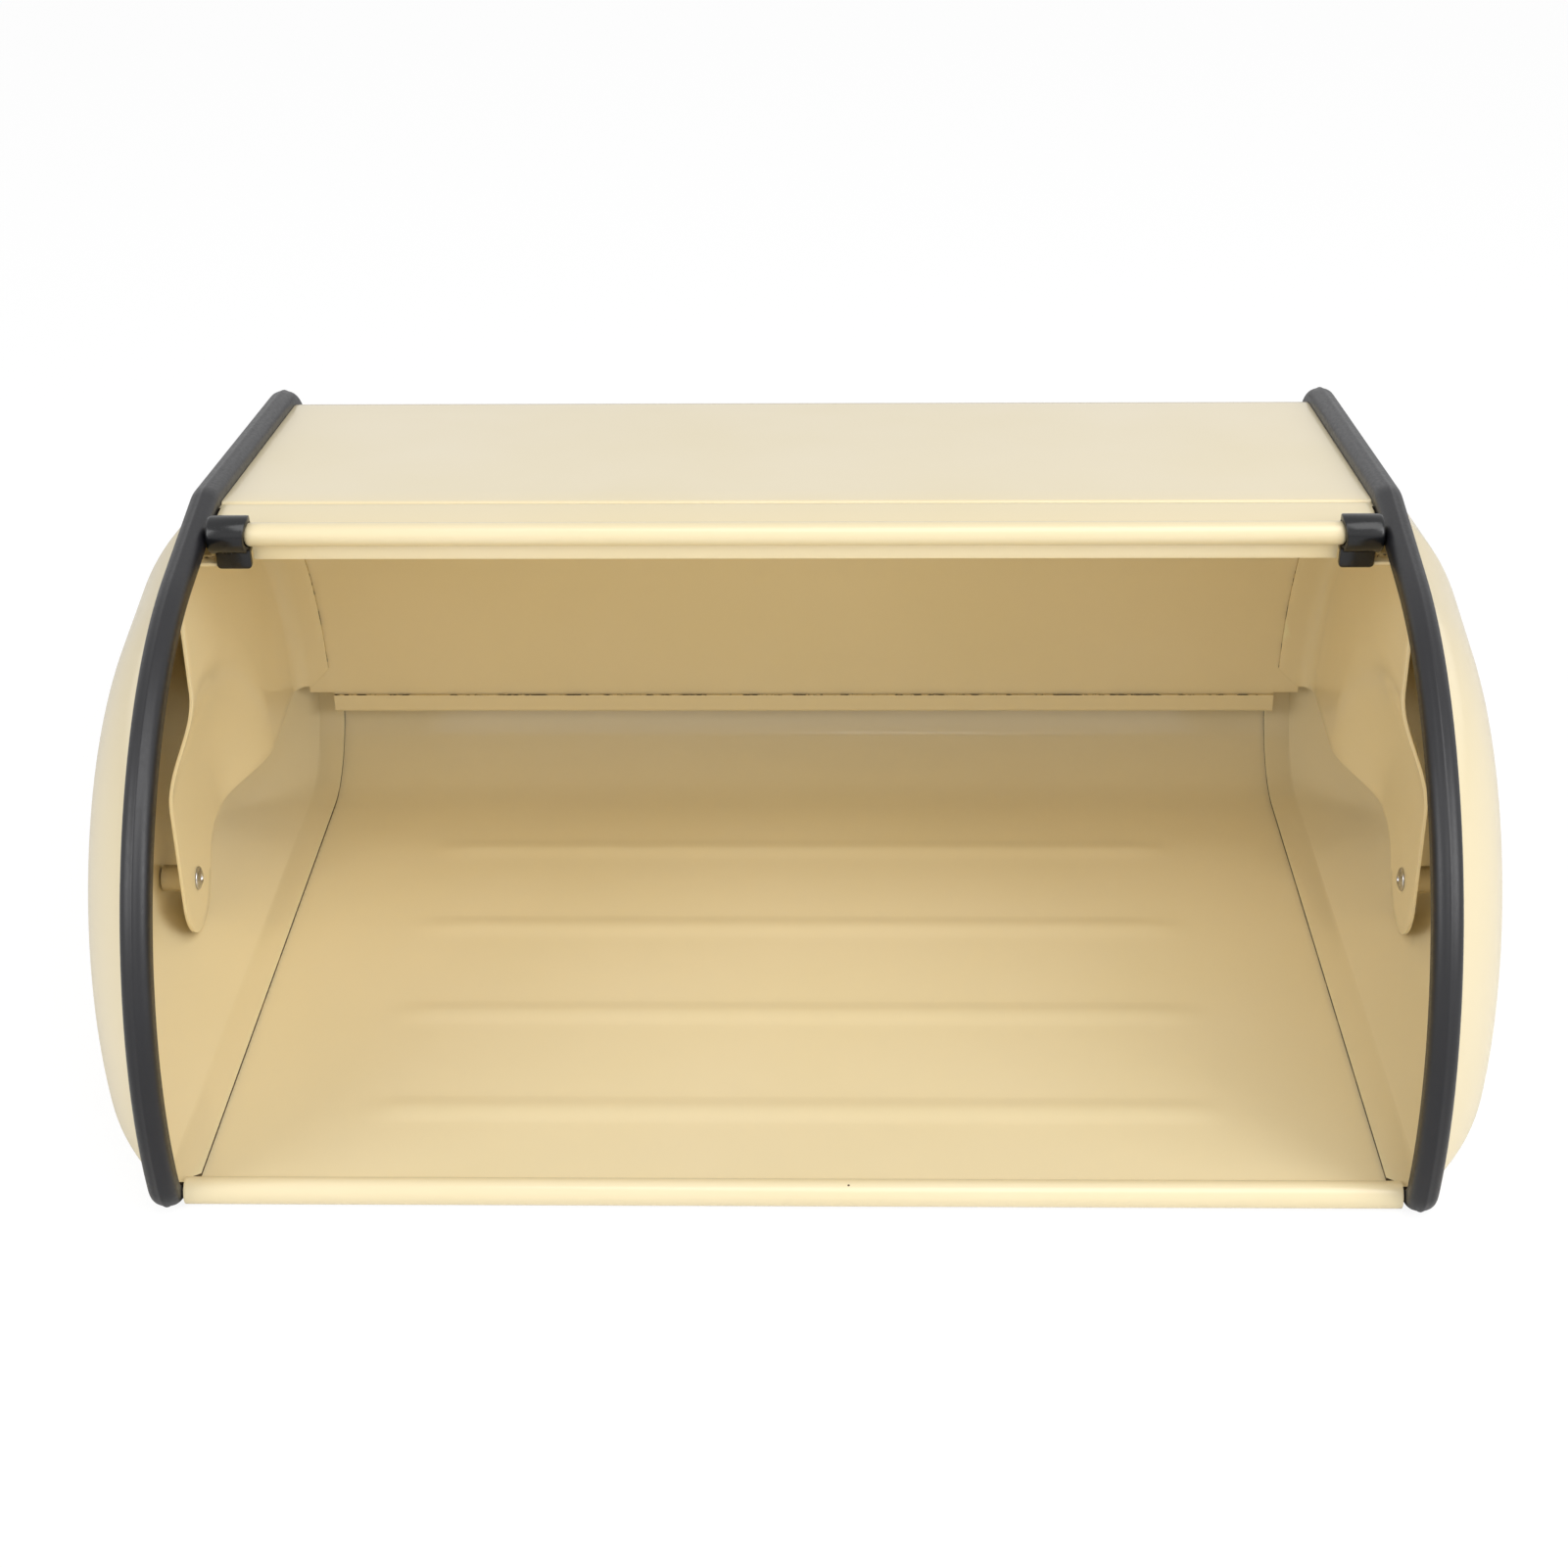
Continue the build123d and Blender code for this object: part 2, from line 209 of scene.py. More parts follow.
@dataclass(frozen=True)
class SideOutline:
    """The D-shaped outline of the box, seen from its right side."""

    arc_r: float = 93.9
    arc_centre: Pair = (80.3, 26.4)
    corner: Pair = (96.0, 125.3)
    fall_deg: float = 5.0
    rear_y: float = 204.6
    front_r: float = 6.0
    corner_r: float = 14.0
    rear_top_r: float = 18.0
    rear_bottom_r: float = 28.0
    run_step: float = 9.0

    def arcs(self) -> list[Arc]:
        """Return the five corners, from the rear floor round to the front floor."""
        reach = (self.corner[0] - self.arc_centre[0], self.corner[1] - self.arc_centre[1])
        tangent = math.degrees(
            math.atan2(reach[1], reach[0]) + math.acos(self.arc_r / math.hypot(*reach))
        )
        panel = 90.0 - self.fall_deg
        half = math.radians((tangent - panel) / 2)
        corner = polar(-self.corner_r / math.cos(half), (tangent + panel) / 2, self.corner)
        drop = self.arc_centre[1] - self.front_r
        front_y = self.arc_centre[0] - math.sqrt((self.arc_r - self.front_r) ** 2 - drop**2)
        foot = 180.0 + math.degrees(math.asin(drop / (self.arc_r - self.front_r)))
        low = (self.rear_y - self.rear_bottom_r, self.rear_bottom_r)
        high = (self.rear_y - self.rear_top_r, self.rear_top_centre_z())
        return [
            Arc(low, self.rear_bottom_r, -90.0, 0.0, 18),
            Arc(high, self.rear_top_r, 0.0, panel, 16),
            Arc(corner, self.corner_r, panel, tangent, 14),
            Arc(self.arc_centre, self.arc_r, tangent, foot, 54),
            Arc((front_y, self.front_r), self.front_r, foot, 270.0, 10),
        ]

    def rear_top_centre_z(self) -> float:
        """Return the height of the rear top corner's centre."""
        fall = math.radians(self.fall_deg)
        back = self.rear_y - self.rear_top_r - self.corner[0]
        return self.corner[1] - (self.rear_top_r + back * math.sin(fall)) / math.cos(fall)

    def loop(self, grow: float) -> np.ndarray:
        """Return the closed outline, from the front of the floor towards the rear.

        Args:
            grow: Offset outwards, mm.

        Returns:
            An array of y and z, mm, whose count is the same for every offset.
        """
        base = [arc.points(0.0) for arc in self.arcs()]
        grown = [arc.points(grow) for arc in self.arcs()]
        pieces = []
        for index, arc_points in enumerate(grown):
            before = index - 1
            length = float(np.linalg.norm(base[index][0] - base[before][-1]))
            count = max(1, round(length / self.run_step))
            share = np.linspace(0.0, 1.0, count + 1)[1:-1, None]
            start, end = grown[before][-1], arc_points[0]
            pieces.append(start + (end - start) * share)
            skip = 0 if length > 1e-6 else 1
            pieces.append(arc_points[skip:])
        return np.concatenate(pieces)


OUTLINE = SideOutline()


@dataclass
class Sheet:
    """Collects the faces of one or more point grids into a single mesh."""

    vertices: list[np.ndarray] = field(default_factory=list)
    faces: list[tuple[int, ...]] = field(default_factory=list)
    count: int = 0

    def add_points(self, points: np.ndarray) -> int:
        """Add points and return the index of the first one.

        Args:
            points: Millimetre points, last axis x, y, z.

        Returns:
            The first one's index.
        """
        base = self.count
        self.vertices.append(points.reshape(-1, 3))
        self.count += len(self.vertices[-1])
        return base

    def grid(
        self,
        points: np.ndarray,
        wrap_rows: bool = False,
        wrap_columns: bool = False,
        keep: np.ndarray | None = None,
    ) -> None:
        """Add a grid of points as quads.

        Args:
            points: Array of rows, columns and x, y, z, mm.
            wrap_rows: Whether the last row joins the first.
            wrap_columns: Whether the last column joins the first.
            keep: Which quads are kept, by row and column, or None for all.
        """
        rows, columns = points.shape[:2]
        base = self.add_points(points)
        for row in range(rows if wrap_rows else rows - 1):
            below = base + row * columns
            above = base + ((row + 1) % rows) * columns
            for column in range(columns if wrap_columns else columns - 1):
                if keep is not None and not keep[row, column]:
                    continue
                right = (column + 1) % columns
                self.faces.append((below + column, below + right, above + right, above + column))

    def fan(self, ring: np.ndarray, tip: Sequence[float]) -> None:
        """Close a ring of points with triangles to one point.

        Args:
            ring: The ring's points, mm.
            tip: The point in its middle, mm.
        """
        number = len(ring)
        base = self.add_points(np.vstack([ring, np.array(tip)[None, :]]))
        for index in range(number):
            self.faces.append((base + index, base + (index + 1) % number, base + number))

    def make(self, name: str, merge: float = 0.002) -> Piece:
        """Make the object, with its doubles merged and its faces turned outwards.

        Args:
            name: The object's name.
            merge: Distance under which points are merged, mm.

        Returns:
            The new object, at the origin, with its place in its mesh.
        """
        mesh = bpy.data.meshes.new(name)
        mesh.from_pydata(to_row(np.concatenate(self.vertices)).tolist(), [], self.faces)
        piece = bpy.data.objects.new(name, mesh)
        bpy.context.scene.collection.objects.link(piece)
        work = bmesh.new()
        work.from_mesh(mesh)
        bmesh.ops.remove_doubles(work, verts=work.verts, dist=merge * MM)
        loose = [v for v in work.verts if not v.link_faces]
        bmesh.ops.delete(work, geom=loose, context="VERTS")
        bmesh.ops.recalc_face_normals(work, faces=work.faces)
        work.to_mesh(mesh)
        work.free()
        return piece


def shade(mesh: bpy.types.Mesh, sharp_deg: float) -> None:
    """Shade a mesh smooth but for the edges that turn more than an angle."""
    mesh.shade_smooth()
    mesh.set_sharp_from_angle(angle=math.radians(sharp_deg))


def settle(piece: Piece, sharp_deg: float = 38.0) -> Piece:
    """Turn a piece's modifiers into plain mesh and shade it.

    Args:
        piece: The object to settle.
        sharp_deg: Edges that turn more than this stay sharp.

    Returns:
        The same object.
    """
    graph = bpy.context.evaluated_depsgraph_get()
    mesh = bpy.data.meshes.new_from_object(piece.evaluated_get(graph))
    piece.modifiers.clear()
    old = piece.data
    piece.data = mesh
    mesh.name = old.name
    bpy.data.meshes.remove(old)
    shade(mesh, sharp_deg)
    return piece


def thicken(piece: Piece, offset: float = 0.0, edge: float = 0.2) -> None:
    """Give an open sheet its wall, with the cut edges in the second material slot.

    Args:
        piece: The sheet.
        offset: Where the wall lies: -1 inside the faces, 0 on both sides, 1 outside.
        edge: Width of the broken edge, mm, or 0 for none.
    """
    wall = piece.modifiers.new("wall", "SOLIDIFY")
    wall.thickness = SHEET * MM
    wall.offset = offset
    wall.use_even_offset = True
    wall.use_quality_normals = True
    wall.material_offset_rim = 1
    for _ in range(2):
        piece.data.materials.append(None)
    if edge:
        soften(piece, edge)


def soften(piece: Piece, width: float, angle_deg: float = 40.0) -> None:
    """Round the sharp edges of a piece.

    Args:
        piece: The piece.
        width: Width of the rounding, mm.
        angle_deg: Edges that turn more than this are rounded.
    """
    rounding = piece.modifiers.new("edges", "BEVEL")
    rounding.width = width * MM
    rounding.segments = 2
    rounding.limit_method = "ANGLE"
    rounding.angle_limit = math.radians(angle_deg)
    rounding.miter_outer = "MITER_ARC"
    rounding.use_clamp_overlap = True


def join(piece: Piece, other: Piece) -> None:
    """Add one object's mesh to another and remove it.

    Args:
        piece: The object that stays.
        other: The object whose mesh moves over.
    """
    work = bmesh.new()
    work.from_mesh(piece.data)
    work.from_mesh(other.data)
    work.to_mesh(piece.data)
    work.free()
    mesh = other.data
    bpy.data.objects.remove(other)
    bpy.data.meshes.remove(mesh)


def add_node(
    tree: bpy.types.NodeTree, kind: str, links: dict[Any, Any] | None = None, **settings: Any
) -> Any:
    """Add a node with its settings and inputs.

    Args:
        tree: The tree to add to.
        kind: The node's type name.
        links: Input name or index to a socket to link from, or to a value.
        settings: Attributes of the node.

    Returns:
        The new node.
    """
    node = tree.nodes.new(kind)
    for name, value in settings.items():
        setattr(node, name, value)
    for name, source in (links or {}).items():
        if isinstance(source, Socket):
            tree.links.new(source, node.inputs[name])
        else:
            node.inputs[name].default_value = source
    return node


class Surface:
    """A new material, with its tree, its shader and the object's own coordinates."""

    def __init__(self, name: str, constants: dict[str, float]) -> None:
        """Start the material.

        Args:
            name: The finish's name.
            constants: Values of the shader's own sockets, by name.
        """
        self.material = bpy.data.materials.new(name)
        self.material.use_nodes = True
        self.tree = self.material.node_tree
        self.shader = self.tree.nodes["Principled BSDF"]
        for socket, value in constants.items():
            self.shader.inputs[socket].default_value = value
        self.place = add_node(self.tree, "ShaderNodeTexCoord").outputs["Object"]

    def finish(self, colour: Socket, gloss: Socket, skin: Socket) -> Material:
        """Link the three patterns to the shader.

        Args:
            colour: The base colour.
            gloss: The roughness.
            skin: The normal.

        Returns:
            The material.
        """
        for name, source in (("Base Color", colour), ("Roughness", gloss), ("Normal", skin)):
            self.tree.links.new(source, self.shader.inputs[name])
        return self.material

    def grained(
        self, colour: Socket, pattern: Socket, span: Pair, gloss: Pair, relief: Pair
    ) -> Material:
        """Let one pattern break up the highlight, and return the material.

        Args:
            colour: The base colour.
            pattern: The pattern.
            span: Between which of its values the roughness changes.
            gloss: The roughness at both.
            relief: Strength of the pattern's relief, and its full depth, mm.

        Returns:
            The material.
        """
        ends = {"From Min": span[0], "From Max": span[1], "To Min": gloss[0], "To Max": gloss[1]}
        rough = add_node(self.tree, "ShaderNodeMapRange", {"Value": pattern, **ends})
        depth = {"Strength": relief[0], "Distance": relief[1] * MM}
        skin = add_node(self.tree, "ShaderNodeBump", {"Height": pattern, **depth})
        return self.finish(colour, rough.outputs["Result"], skin.outputs["Normal"])


@dataclass(frozen=True)
class Enamel:
    """Cream powder coat, sprayed and baked on sheet steel."""

    # This gives a broad satin sheen under a clear skin, a slow drift of the cream, a faint
    # ripple, a painted highlight as a lighter line along every bend, and rare dark pinholes. The
    # ripple and the pinholes are drawn coarser than real ones, so that they show.
    name: str = "cream_powder_coat"
    cream: str = "F0E0BA"
    deep_cream: str = "EBDBAF"
    bend_highlight_cream: str = "F1EBC2"
    pinhole: str = "5A452A"
    ior: float = 1.5
    roughness: Pair = (0.3, 0.39)
    coat_weight: float = 0.55
    coat_roughness: float = 0.09
    bend_highlight_range: Pair = (0.56, 0.64)
    bend_highlight_share: float = 0.7
    ripple_mm: float = 1.6
    ripple_depth_mm: float = 0.05
    mottle_mm: float = 60.0
    pinhole_cell_mm: float = 34.0
    pinhole_r_mm: float = 0.28
    pinhole_depth_mm: float = 0.1

    def build(self) -> Material:
        """Return the material."""
        clear = {"Coat Weight": self.coat_weight, "Coat Roughness": self.coat_roughness}
        coat = Surface(self.name, {"IOR": self.ior, **clear})
        tree = coat.tree
        cloud = {"Vector": coat.place, "Scale": per_mm(self.mottle_mm), "Detail": 3.0}
        cloud["Roughness"] = 0.55
        mottle = add_node(tree, "ShaderNodeTexNoise", cloud).outputs["Fac"]
        # Painted highlight: the sharper the bend, the lighter the cream, as a light line along
        # every edge.
        pointed = add_node(tree, "ShaderNodeNewGeometry").outputs["Pointiness"]
        low, high = self.bend_highlight_range
        bend = {"Value": pointed, "From Min": low, "From Max": high, "To Max": self.bend_highlight_share}
        bend_highlight_mask = add_node(tree, "ShaderNodeMapRange", bend).outputs["Result"]
        spots = self.pinholes(coat)
        colour: Any = srgb(self.cream)
        layers = ((mottle, self.deep_cream), (bend_highlight_mask, self.bend_highlight_cream), (spots, self.pinhole))
        for share, code in layers:
            layer = {0: share, 6: colour, 7: srgb(code)}
            colour = add_node(tree, "ShaderNodeMix", layer, data_type="RGBA").outputs[2]
        sheen = {"To Min": self.roughness[0], "To Max": self.roughness[1]}
        body = {"Value": mottle, "From Min": NOISE_BODY[0], "From Max": NOISE_BODY[1]}
        gloss = add_node(tree, "ShaderNodeMapRange", {**body, **sheen}).outputs["Result"]
        fine = {"Vector": coat.place, "Scale": per_mm(self.ripple_mm), "Detail": 2.0}
        ripple = add_node(tree, "ShaderNodeTexNoise", fine).outputs["Fac"]
        wave = {"Height": ripple, "Strength": 0.12, "Distance": self.ripple_depth_mm * MM}
        skin = add_node(tree, "ShaderNodeBump", wave).outputs["Normal"]
        pit = {"Height": spots, "Strength": 0.6, "Distance": self.pinhole_depth_mm * MM}
        pits = add_node(tree, "ShaderNodeBump", {**pit, "Normal": skin}, invert=True)
        return coat.finish(colour, gloss, pits.outputs["Normal"])

    def pinholes(self, coat: Surface) -> Socket:
        """Return a mask of the few pinholes in the coat.

        Args:
            coat: The coat's material.

        Returns:
            A socket that is 1 in a pinhole.
        """
        grid = {"Vector": coat.place, "Scale": per_mm(self.pinhole_cell_mm)}
        cells = add_node(coat.tree, "ShaderNodeTexVoronoi", grid)
        near = {0: cells.outputs["Distance"], 1: self.pinhole_r_mm / self.pinhole_cell_mm}
        spots = add_node(coat.tree, "ShaderNodeMath", near, operation="LESS_THAN")
        return spots.outputs["Value"]


@dataclass(frozen=True)
class Plastic:
    """Plain plastic with a fine moulded or drawn grain and a little rubbing wear."""

    name: str
    colour: str
    scuff: str
    roughness: float
    # The grain is drawn coarser than a real one, so that it shows.
    grain_mm: float
    ior: float = 1.49
    gloss_spread: Pair = (-0.05, 0.06)
    relief: Pair = (0.15, 0.03)
    wear_mm: float = 16.6667
    wear_range: Pair = (0.45, 0.8)
    wear_share: float = 0.6

    def build(self) -> Material:
        """Return the material."""
        body = Surface(self.name, {"IOR": self.ior})
        rubbing = {"Vector": body.place, "Scale": per_mm(self.wear_mm), "Detail": 4.0}
        wear = add_node(body.tree, "ShaderNodeTexNoise", rubbing).outputs["Fac"]
        low, high = self.wear_range
        ends = {"Value": wear, "From Min": low, "From Max": high, "To Max": self.wear_share}
        worn = add_node(body.tree, "ShaderNodeMapRange", ends).outputs["Result"]
        layer = {0: worn, 6: srgb(self.colour), 7: srgb(self.scuff)}
        colour = add_node(body.tree, "ShaderNodeMix", layer, data_type="RGBA").outputs[2]
        fine = {"Vector": body.place, "Scale": per_mm(self.grain_mm), "Detail": 3.0}
        grain = add_node(body.tree, "ShaderNodeTexNoise", fine).outputs["Fac"]
        gloss = (self.roughness + self.gloss_spread[0], self.roughness + self.gloss_spread[1])
        return body.grained(colour, grain, NOISE_BODY, gloss, self.relief)


@dataclass(frozen=True)
class CutEdge:
    """Sheared sheet edge: the coat with patches of bare steel, or of painted shade on seams."""

    name: str
    # Patch colour: bare steel on the body sheet, painted shade on the dome seams and lid edges.
    bare: str
    coat: str
    limit: float
    patch_mm: float
    ragged: float = 0.03
    ior: float = 1.5
    roughness: Pair = (0.38, 0.7)
    relief: Pair = (0.3, 0.05)

    def build(self) -> Material:
        """Return the material."""
        edge = Surface(self.name, {"IOR": self.ior})
        rough = {"Vector": edge.place, "Scale": per_mm(self.patch_mm), "Detail": 4.0}
        rough["Roughness"] = 0.7
        patches = add_node(edge.tree, "ShaderNodeTexNoise", rough).outputs["Fac"]
        low, high = self.limit - self.ragged, self.limit + self.ragged
        step = {"Value": patches, "From Min": low, "From Max": high}
        shown = add_node(edge.tree, "ShaderNodeMapRange", step).outputs["Result"]
        layer = {0: shown, 6: srgb(self.coat), 7: srgb(self.bare)}
        colour = add_node(edge.tree, "ShaderNodeMix", layer, data_type="RGBA").outputs[2]
        return edge.grained(colour, patches, FULL_RANGE, self.roughness, self.relief)


@dataclass(frozen=True)
class BareMetal:
    """Bright aluminium of the hollow rivets, turned and then rolled over."""

    # This gives small sharp glints, broken up by turning marks that are drawn coarser than
    # real ones, so that they show.
    name: str = "bright_aluminium"
    light: str = "D9D9DB"
    dull: str = "A2A2A6"
    roughness: Pair = (0.16, 0.34)
    relief: Pair = (0.2, 0.02)
    mark_mm: float = 0.714286

    def build(self) -> Material:
        """Return the material."""
        metal = Surface(self.name, {"Metallic": 1.0})
        fine = {"Vector": metal.place, "Scale": per_mm(self.mark_mm), "Detail": 2.0}
        marks = add_node(metal.tree, "ShaderNodeTexNoise", fine).outputs["Fac"]
        layer = {0: marks, 6: srgb(self.light), 7: srgb(self.dull)}
        colour = add_node(metal.tree, "ShaderNodeMix", layer, data_type="RGBA").outputs[2]
        return metal.grained(colour, marks, FULL_RANGE, self.roughness, self.relief)


def dress(
    piece: Piece, finishes: Sequence[Material], body: Body, nodes: Sequence[str]
) -> None:
    """Finish a piece, put it on its body and hide the CAD nodes that it stands for.

    Args:
        piece: The finished mesh object.
        finishes: Its finishes, in the order of its material slots.
        body: The body it rides on.
        nodes: CAD nodes that it stands for.
    """
    mesh = piece.data
    slots = np.zeros(len(mesh.polygons), dtype=np.int32)
    mesh.polygons.foreach_get("material_index", slots)
    mesh.materials.clear()
    for finish in finishes:
        mesh.materials.append(finish)
    mesh.polygons.foreach_set("material_index", np.minimum(slots, len(finishes) - 1))
    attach(piece, body.value)
    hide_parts(*nodes)
    LOG.info("%s: %d faces on %s", piece.name, len(mesh.polygons), body.value)


@dataclass
class BodySheet:
    """The sheet that makes the front lip, ribbed floor, back and top."""

    half_width: float = 137.1
    lip_half_width: float = 136.9
    lip_centre: Pair = (-6.5, -0.6)
    lip_r: float = 3.1
    lip_turns: Pair = (345.0, 22.0)
    lip_foot_ys: tuple[float, ...] = (-3.5, -2.6, -1.2, -0.2)
    top_edge_y: float = 97.32
    hem_depth: float = 5.0
    hem_turn_r: float = 0.45
    rib_count: int = 4
    rib_first_y: float = 24.0
    rib_pitch: float = 42.39
    rib_half_length: float = 105.5
    rib_half_width: float = 6.4
    rib_height: float = 0.6
    rib_fade: float = 16.0
    edge_round: float = 0.22
    # Where the mesh has its rows and columns: about each rib, at the front, and across.
    rib_rows: tuple[float, ...] = (0.0, 0.7, 1.4, 2.1, 2.8, 3.5, 4.2, 4.8, 5.3, 6.0, 8.5, 13.0)
    front_rows: tuple[float, ...] = (0.4, 4.0, 10.0)
    inner_xs: tuple[float, ...] = (0.0, 18.0, 36.0, 54.0, 70.0, 82.0)
    rib_end_step: float = 1.1
    outer_xs: tuple[float, ...] = (112.0, 120.0, 128.0, 133.0, 135.6, 136.6)

    def build(self, steel: Sequence[Material]) -> None:
        """Build and dress the sheet.

        Args:
            steel: The coat and the cut edge.
        """
        path = self.path()
        widths = np.where(path[:, :1] < 0.0, self.lip_half_width, self.half_width)
        points = stacked(self.columns() * widths / self.half_width, path[:, None, :])
        floor_rows = (path[:, 1] < SHEET) & (path[:, 0] > 0.0)
        points[floor_rows, :, 2] += self.rib_lift(points[floor_rows])
        sheet = Sheet()
        sheet.grid(points)
        piece = sheet.make("body_sheet")
        thicken(piece, edge=self.edge_round)
        dress(settle(piece), steel, Body.BOX, ["body_shell"])

    def path(self) -> np.ndarray:
        """Return the middle line of the sheet in the side view, from the lip to the top hem."""
        roll = polar(self.lip_r - SHEET / 2, np.linspace(*self.lip_turns, 46), self.lip_centre)
        loop = OUTLINE.loop(-SHEET / 2)
        rear_start = OUTLINE.arcs()[0].points(-SHEET / 2)[0]
        first = int(np.argmin(np.linalg.norm(loop - rear_start, axis=1)))
        edge = self.top_edge_y + SHEET / 2 + self.hem_turn_r
        at_edge = (loop[:, 1] > UPPER_Z) & (loop[:, 0] < edge)
        stop = first + int(np.argmax(at_edge[first:]))
        share = (loop[stop - 1][0] - edge) / (loop[stop - 1][0] - loop[stop][0])
        last = loop[stop - 1] + (loop[stop] - loop[stop - 1]) * share
        flat = [(y, SHEET / 2) for y in (*self.lip_foot_ys, *self.floor_stations(rear_start[0]))]
        turned = last - (0.0, self.hem_turn_r)
        hem = polar(self.hem_turn_r, np.linspace(95.0, 265.0, 8), turned)
        reach = np.linspace(1.0, self.hem_depth, 4)
        drop = 2 * self.hem_turn_r + reach * math.tan(math.radians(OUTLINE.fall_deg))
        tail = last + np.stack([reach, -drop], axis=1)
        return np.vstack([roll, flat, loop[first:stop], last, hem, tail])

    def floor_stations(self, rear_y: float) -> list[float]:
        """Return y stations of the floor, close together over the ribs.

        Args:
            rear_y: Where the rear corner begins, mm.

        Returns:
            Increasing y values, mm.
        """
        near = np.array(self.rib_rows)
        stations = set(self.front_rows)
        for index in range(self.rib_count):
            centre = self.rib_first_y + index * self.rib_pitch
            for reach in (near, -near):
                stations.update(np.round(centre + reach, 3).tolist())
        return sorted(s for s in stations if 0.2 < s < rear_y - 1.0)

    def columns(self) -> np.ndarray:
        """Return x stations, close together over the rib ends."""
        start, end = self.rib_half_length - self.rib_fade, self.rib_half_length
        ends = np.arange(start, end + self.rib_end_step, self.rib_end_step)
        return mirrored(np.concatenate([self.inner_xs, ends, self.outer_xs, [self.half_width]]))

    def rib_lift(self, points: np.ndarray) -> np.ndarray:
        """Return how far the ribs raise each point of the floor.

        Args:
            points: Points of the floor, mm.

        Returns:
            Heights, mm.
        """
        lift = np.zeros(points.shape[:2])
        straight = self.rib_half_length - self.rib_half_width
        beyond = np.clip(np.abs(points[..., 0]) - straight, 0.0, None)
        for index in range(self.rib_count):
            across = points[..., 1] - (self.rib_first_y + index * self.rib_pitch)
            inside = 1.0 - np.hypot(across, beyond) / self.rib_half_width
            lift += self.rib_height * smooth_step(inside)
        return lift * smooth_step((self.rib_half_length - np.abs(points[..., 0])) / self.rib_fade)


@dataclass
class SideDome:
    """One deep-drawn end of the box, with the skirt that laps the body sheet."""

    side: Side
    seam_x: float = 134.0
    lip_end_x: float = 136.9
    cut_x: float = 138.6
    rim_foot_x: float = 140.4
    rim_x: float = 141.5
    skirt_front_y: float = -3.1
    flat_front_y: float = -5.6
    corner_front_y: float = -7.5
    corner_top_z: float = 6.0
    opening_rear_y: float = 60.0
    top_front_y: float = 95.6
    bulge: float = 23.0
    fullness: float = 4.87
    crown: Pair = (99.5, 31.6)
    inset: float = 0.8
    # The wall's rows crowd towards the rim and end half way to the crown.
    wall_rows: int = 26
    wall_crowding: float = 1.6
    wall_end: float = 0.5
    crown_shares: tuple[float, ...] = (0.42, 0.33, 0.24, 0.15, 0.07)

    def build(self, steel: Sequence[Material]) -> None:
        """Build and dress the dome.

        Args:
            steel: The coat and the cut edge.
        """
        rim = OUTLINE.loop(-self.inset)
        crown = np.array(self.crown)
        skirt = np.array([self.seam_x, self.lip_end_x, self.cut_x, self.rim_foot_x])
        steps = np.arange(self.wall_rows + 1) / self.wall_rows
        wall_shares = 1.0 - self.wall_end * steps**self.wall_crowding
        shares = np.concatenate([wall_shares, self.crown_shares])
        wall = self.rim_x + self.bulge * (1.0 - shares**self.fullness)
        across = np.concatenate([skirt, wall])[:, None] * self.side.value
        shares = np.concatenate([np.ones(len(skirt)), shares])
        points = stacked(across, crown + (rim - crown) * shares[:, None, None])
        flat = (rim[:, 1] < SHEET * 1.5) & (rim[:, 0] > self.flat_front_y)
        points[0, flat, 1] = np.maximum(points[0, flat, 1], self.skirt_front_y)
        keep = np.ones(points.shape[:2], dtype=bool)
        for row, front in enumerate((self.flat_front_y, self.corner_front_y)):
            keep[row] = ~self.in_opening(rim, front)
        sheet = Sheet()
        sheet.grid(points, wrap_columns=True, keep=keep)
        sheet.fan(points[-1], ((self.rim_x + self.bulge) * self.side.value, *self.crown))
        piece = sheet.make(f"{self.side.word}_dome")
        self.face_outwards(piece)
        thicken(piece, offset=-1.0, edge=0.0)
        nodes = [f"{self.side.word}_side_dome"]
        dress(settle(piece), steel, Body.BOX, nodes)

    def in_opening(self, rim: np.ndarray, front: float) -> np.ndarray:
        """Return which points of the rim are at the open front, where the skirt is cut away.

        Args:
            rim: The rim's y and z, mm.
            front: Where the skirt's corner starts along the floor, mm.

        Returns:
            One truth value for each point.
        """
        y, z = rim.T
        low = (y < front) | (z > self.corner_top_z) & (y < self.opening_rear_y)
        return np.where(z < UPPER_Z, low, y < self.top_front_y)

    def face_outwards(self, piece: Piece) -> None:
        """Turn every face away from the middle of the box.

        Args:
            piece: The open dome sheet.
        """
        tip = max(piece.data.polygons, key=lambda p: p.center.x * self.side.value)
        if tip.normal.x * self.side.value < 0:
            piece.data.flip_normals()


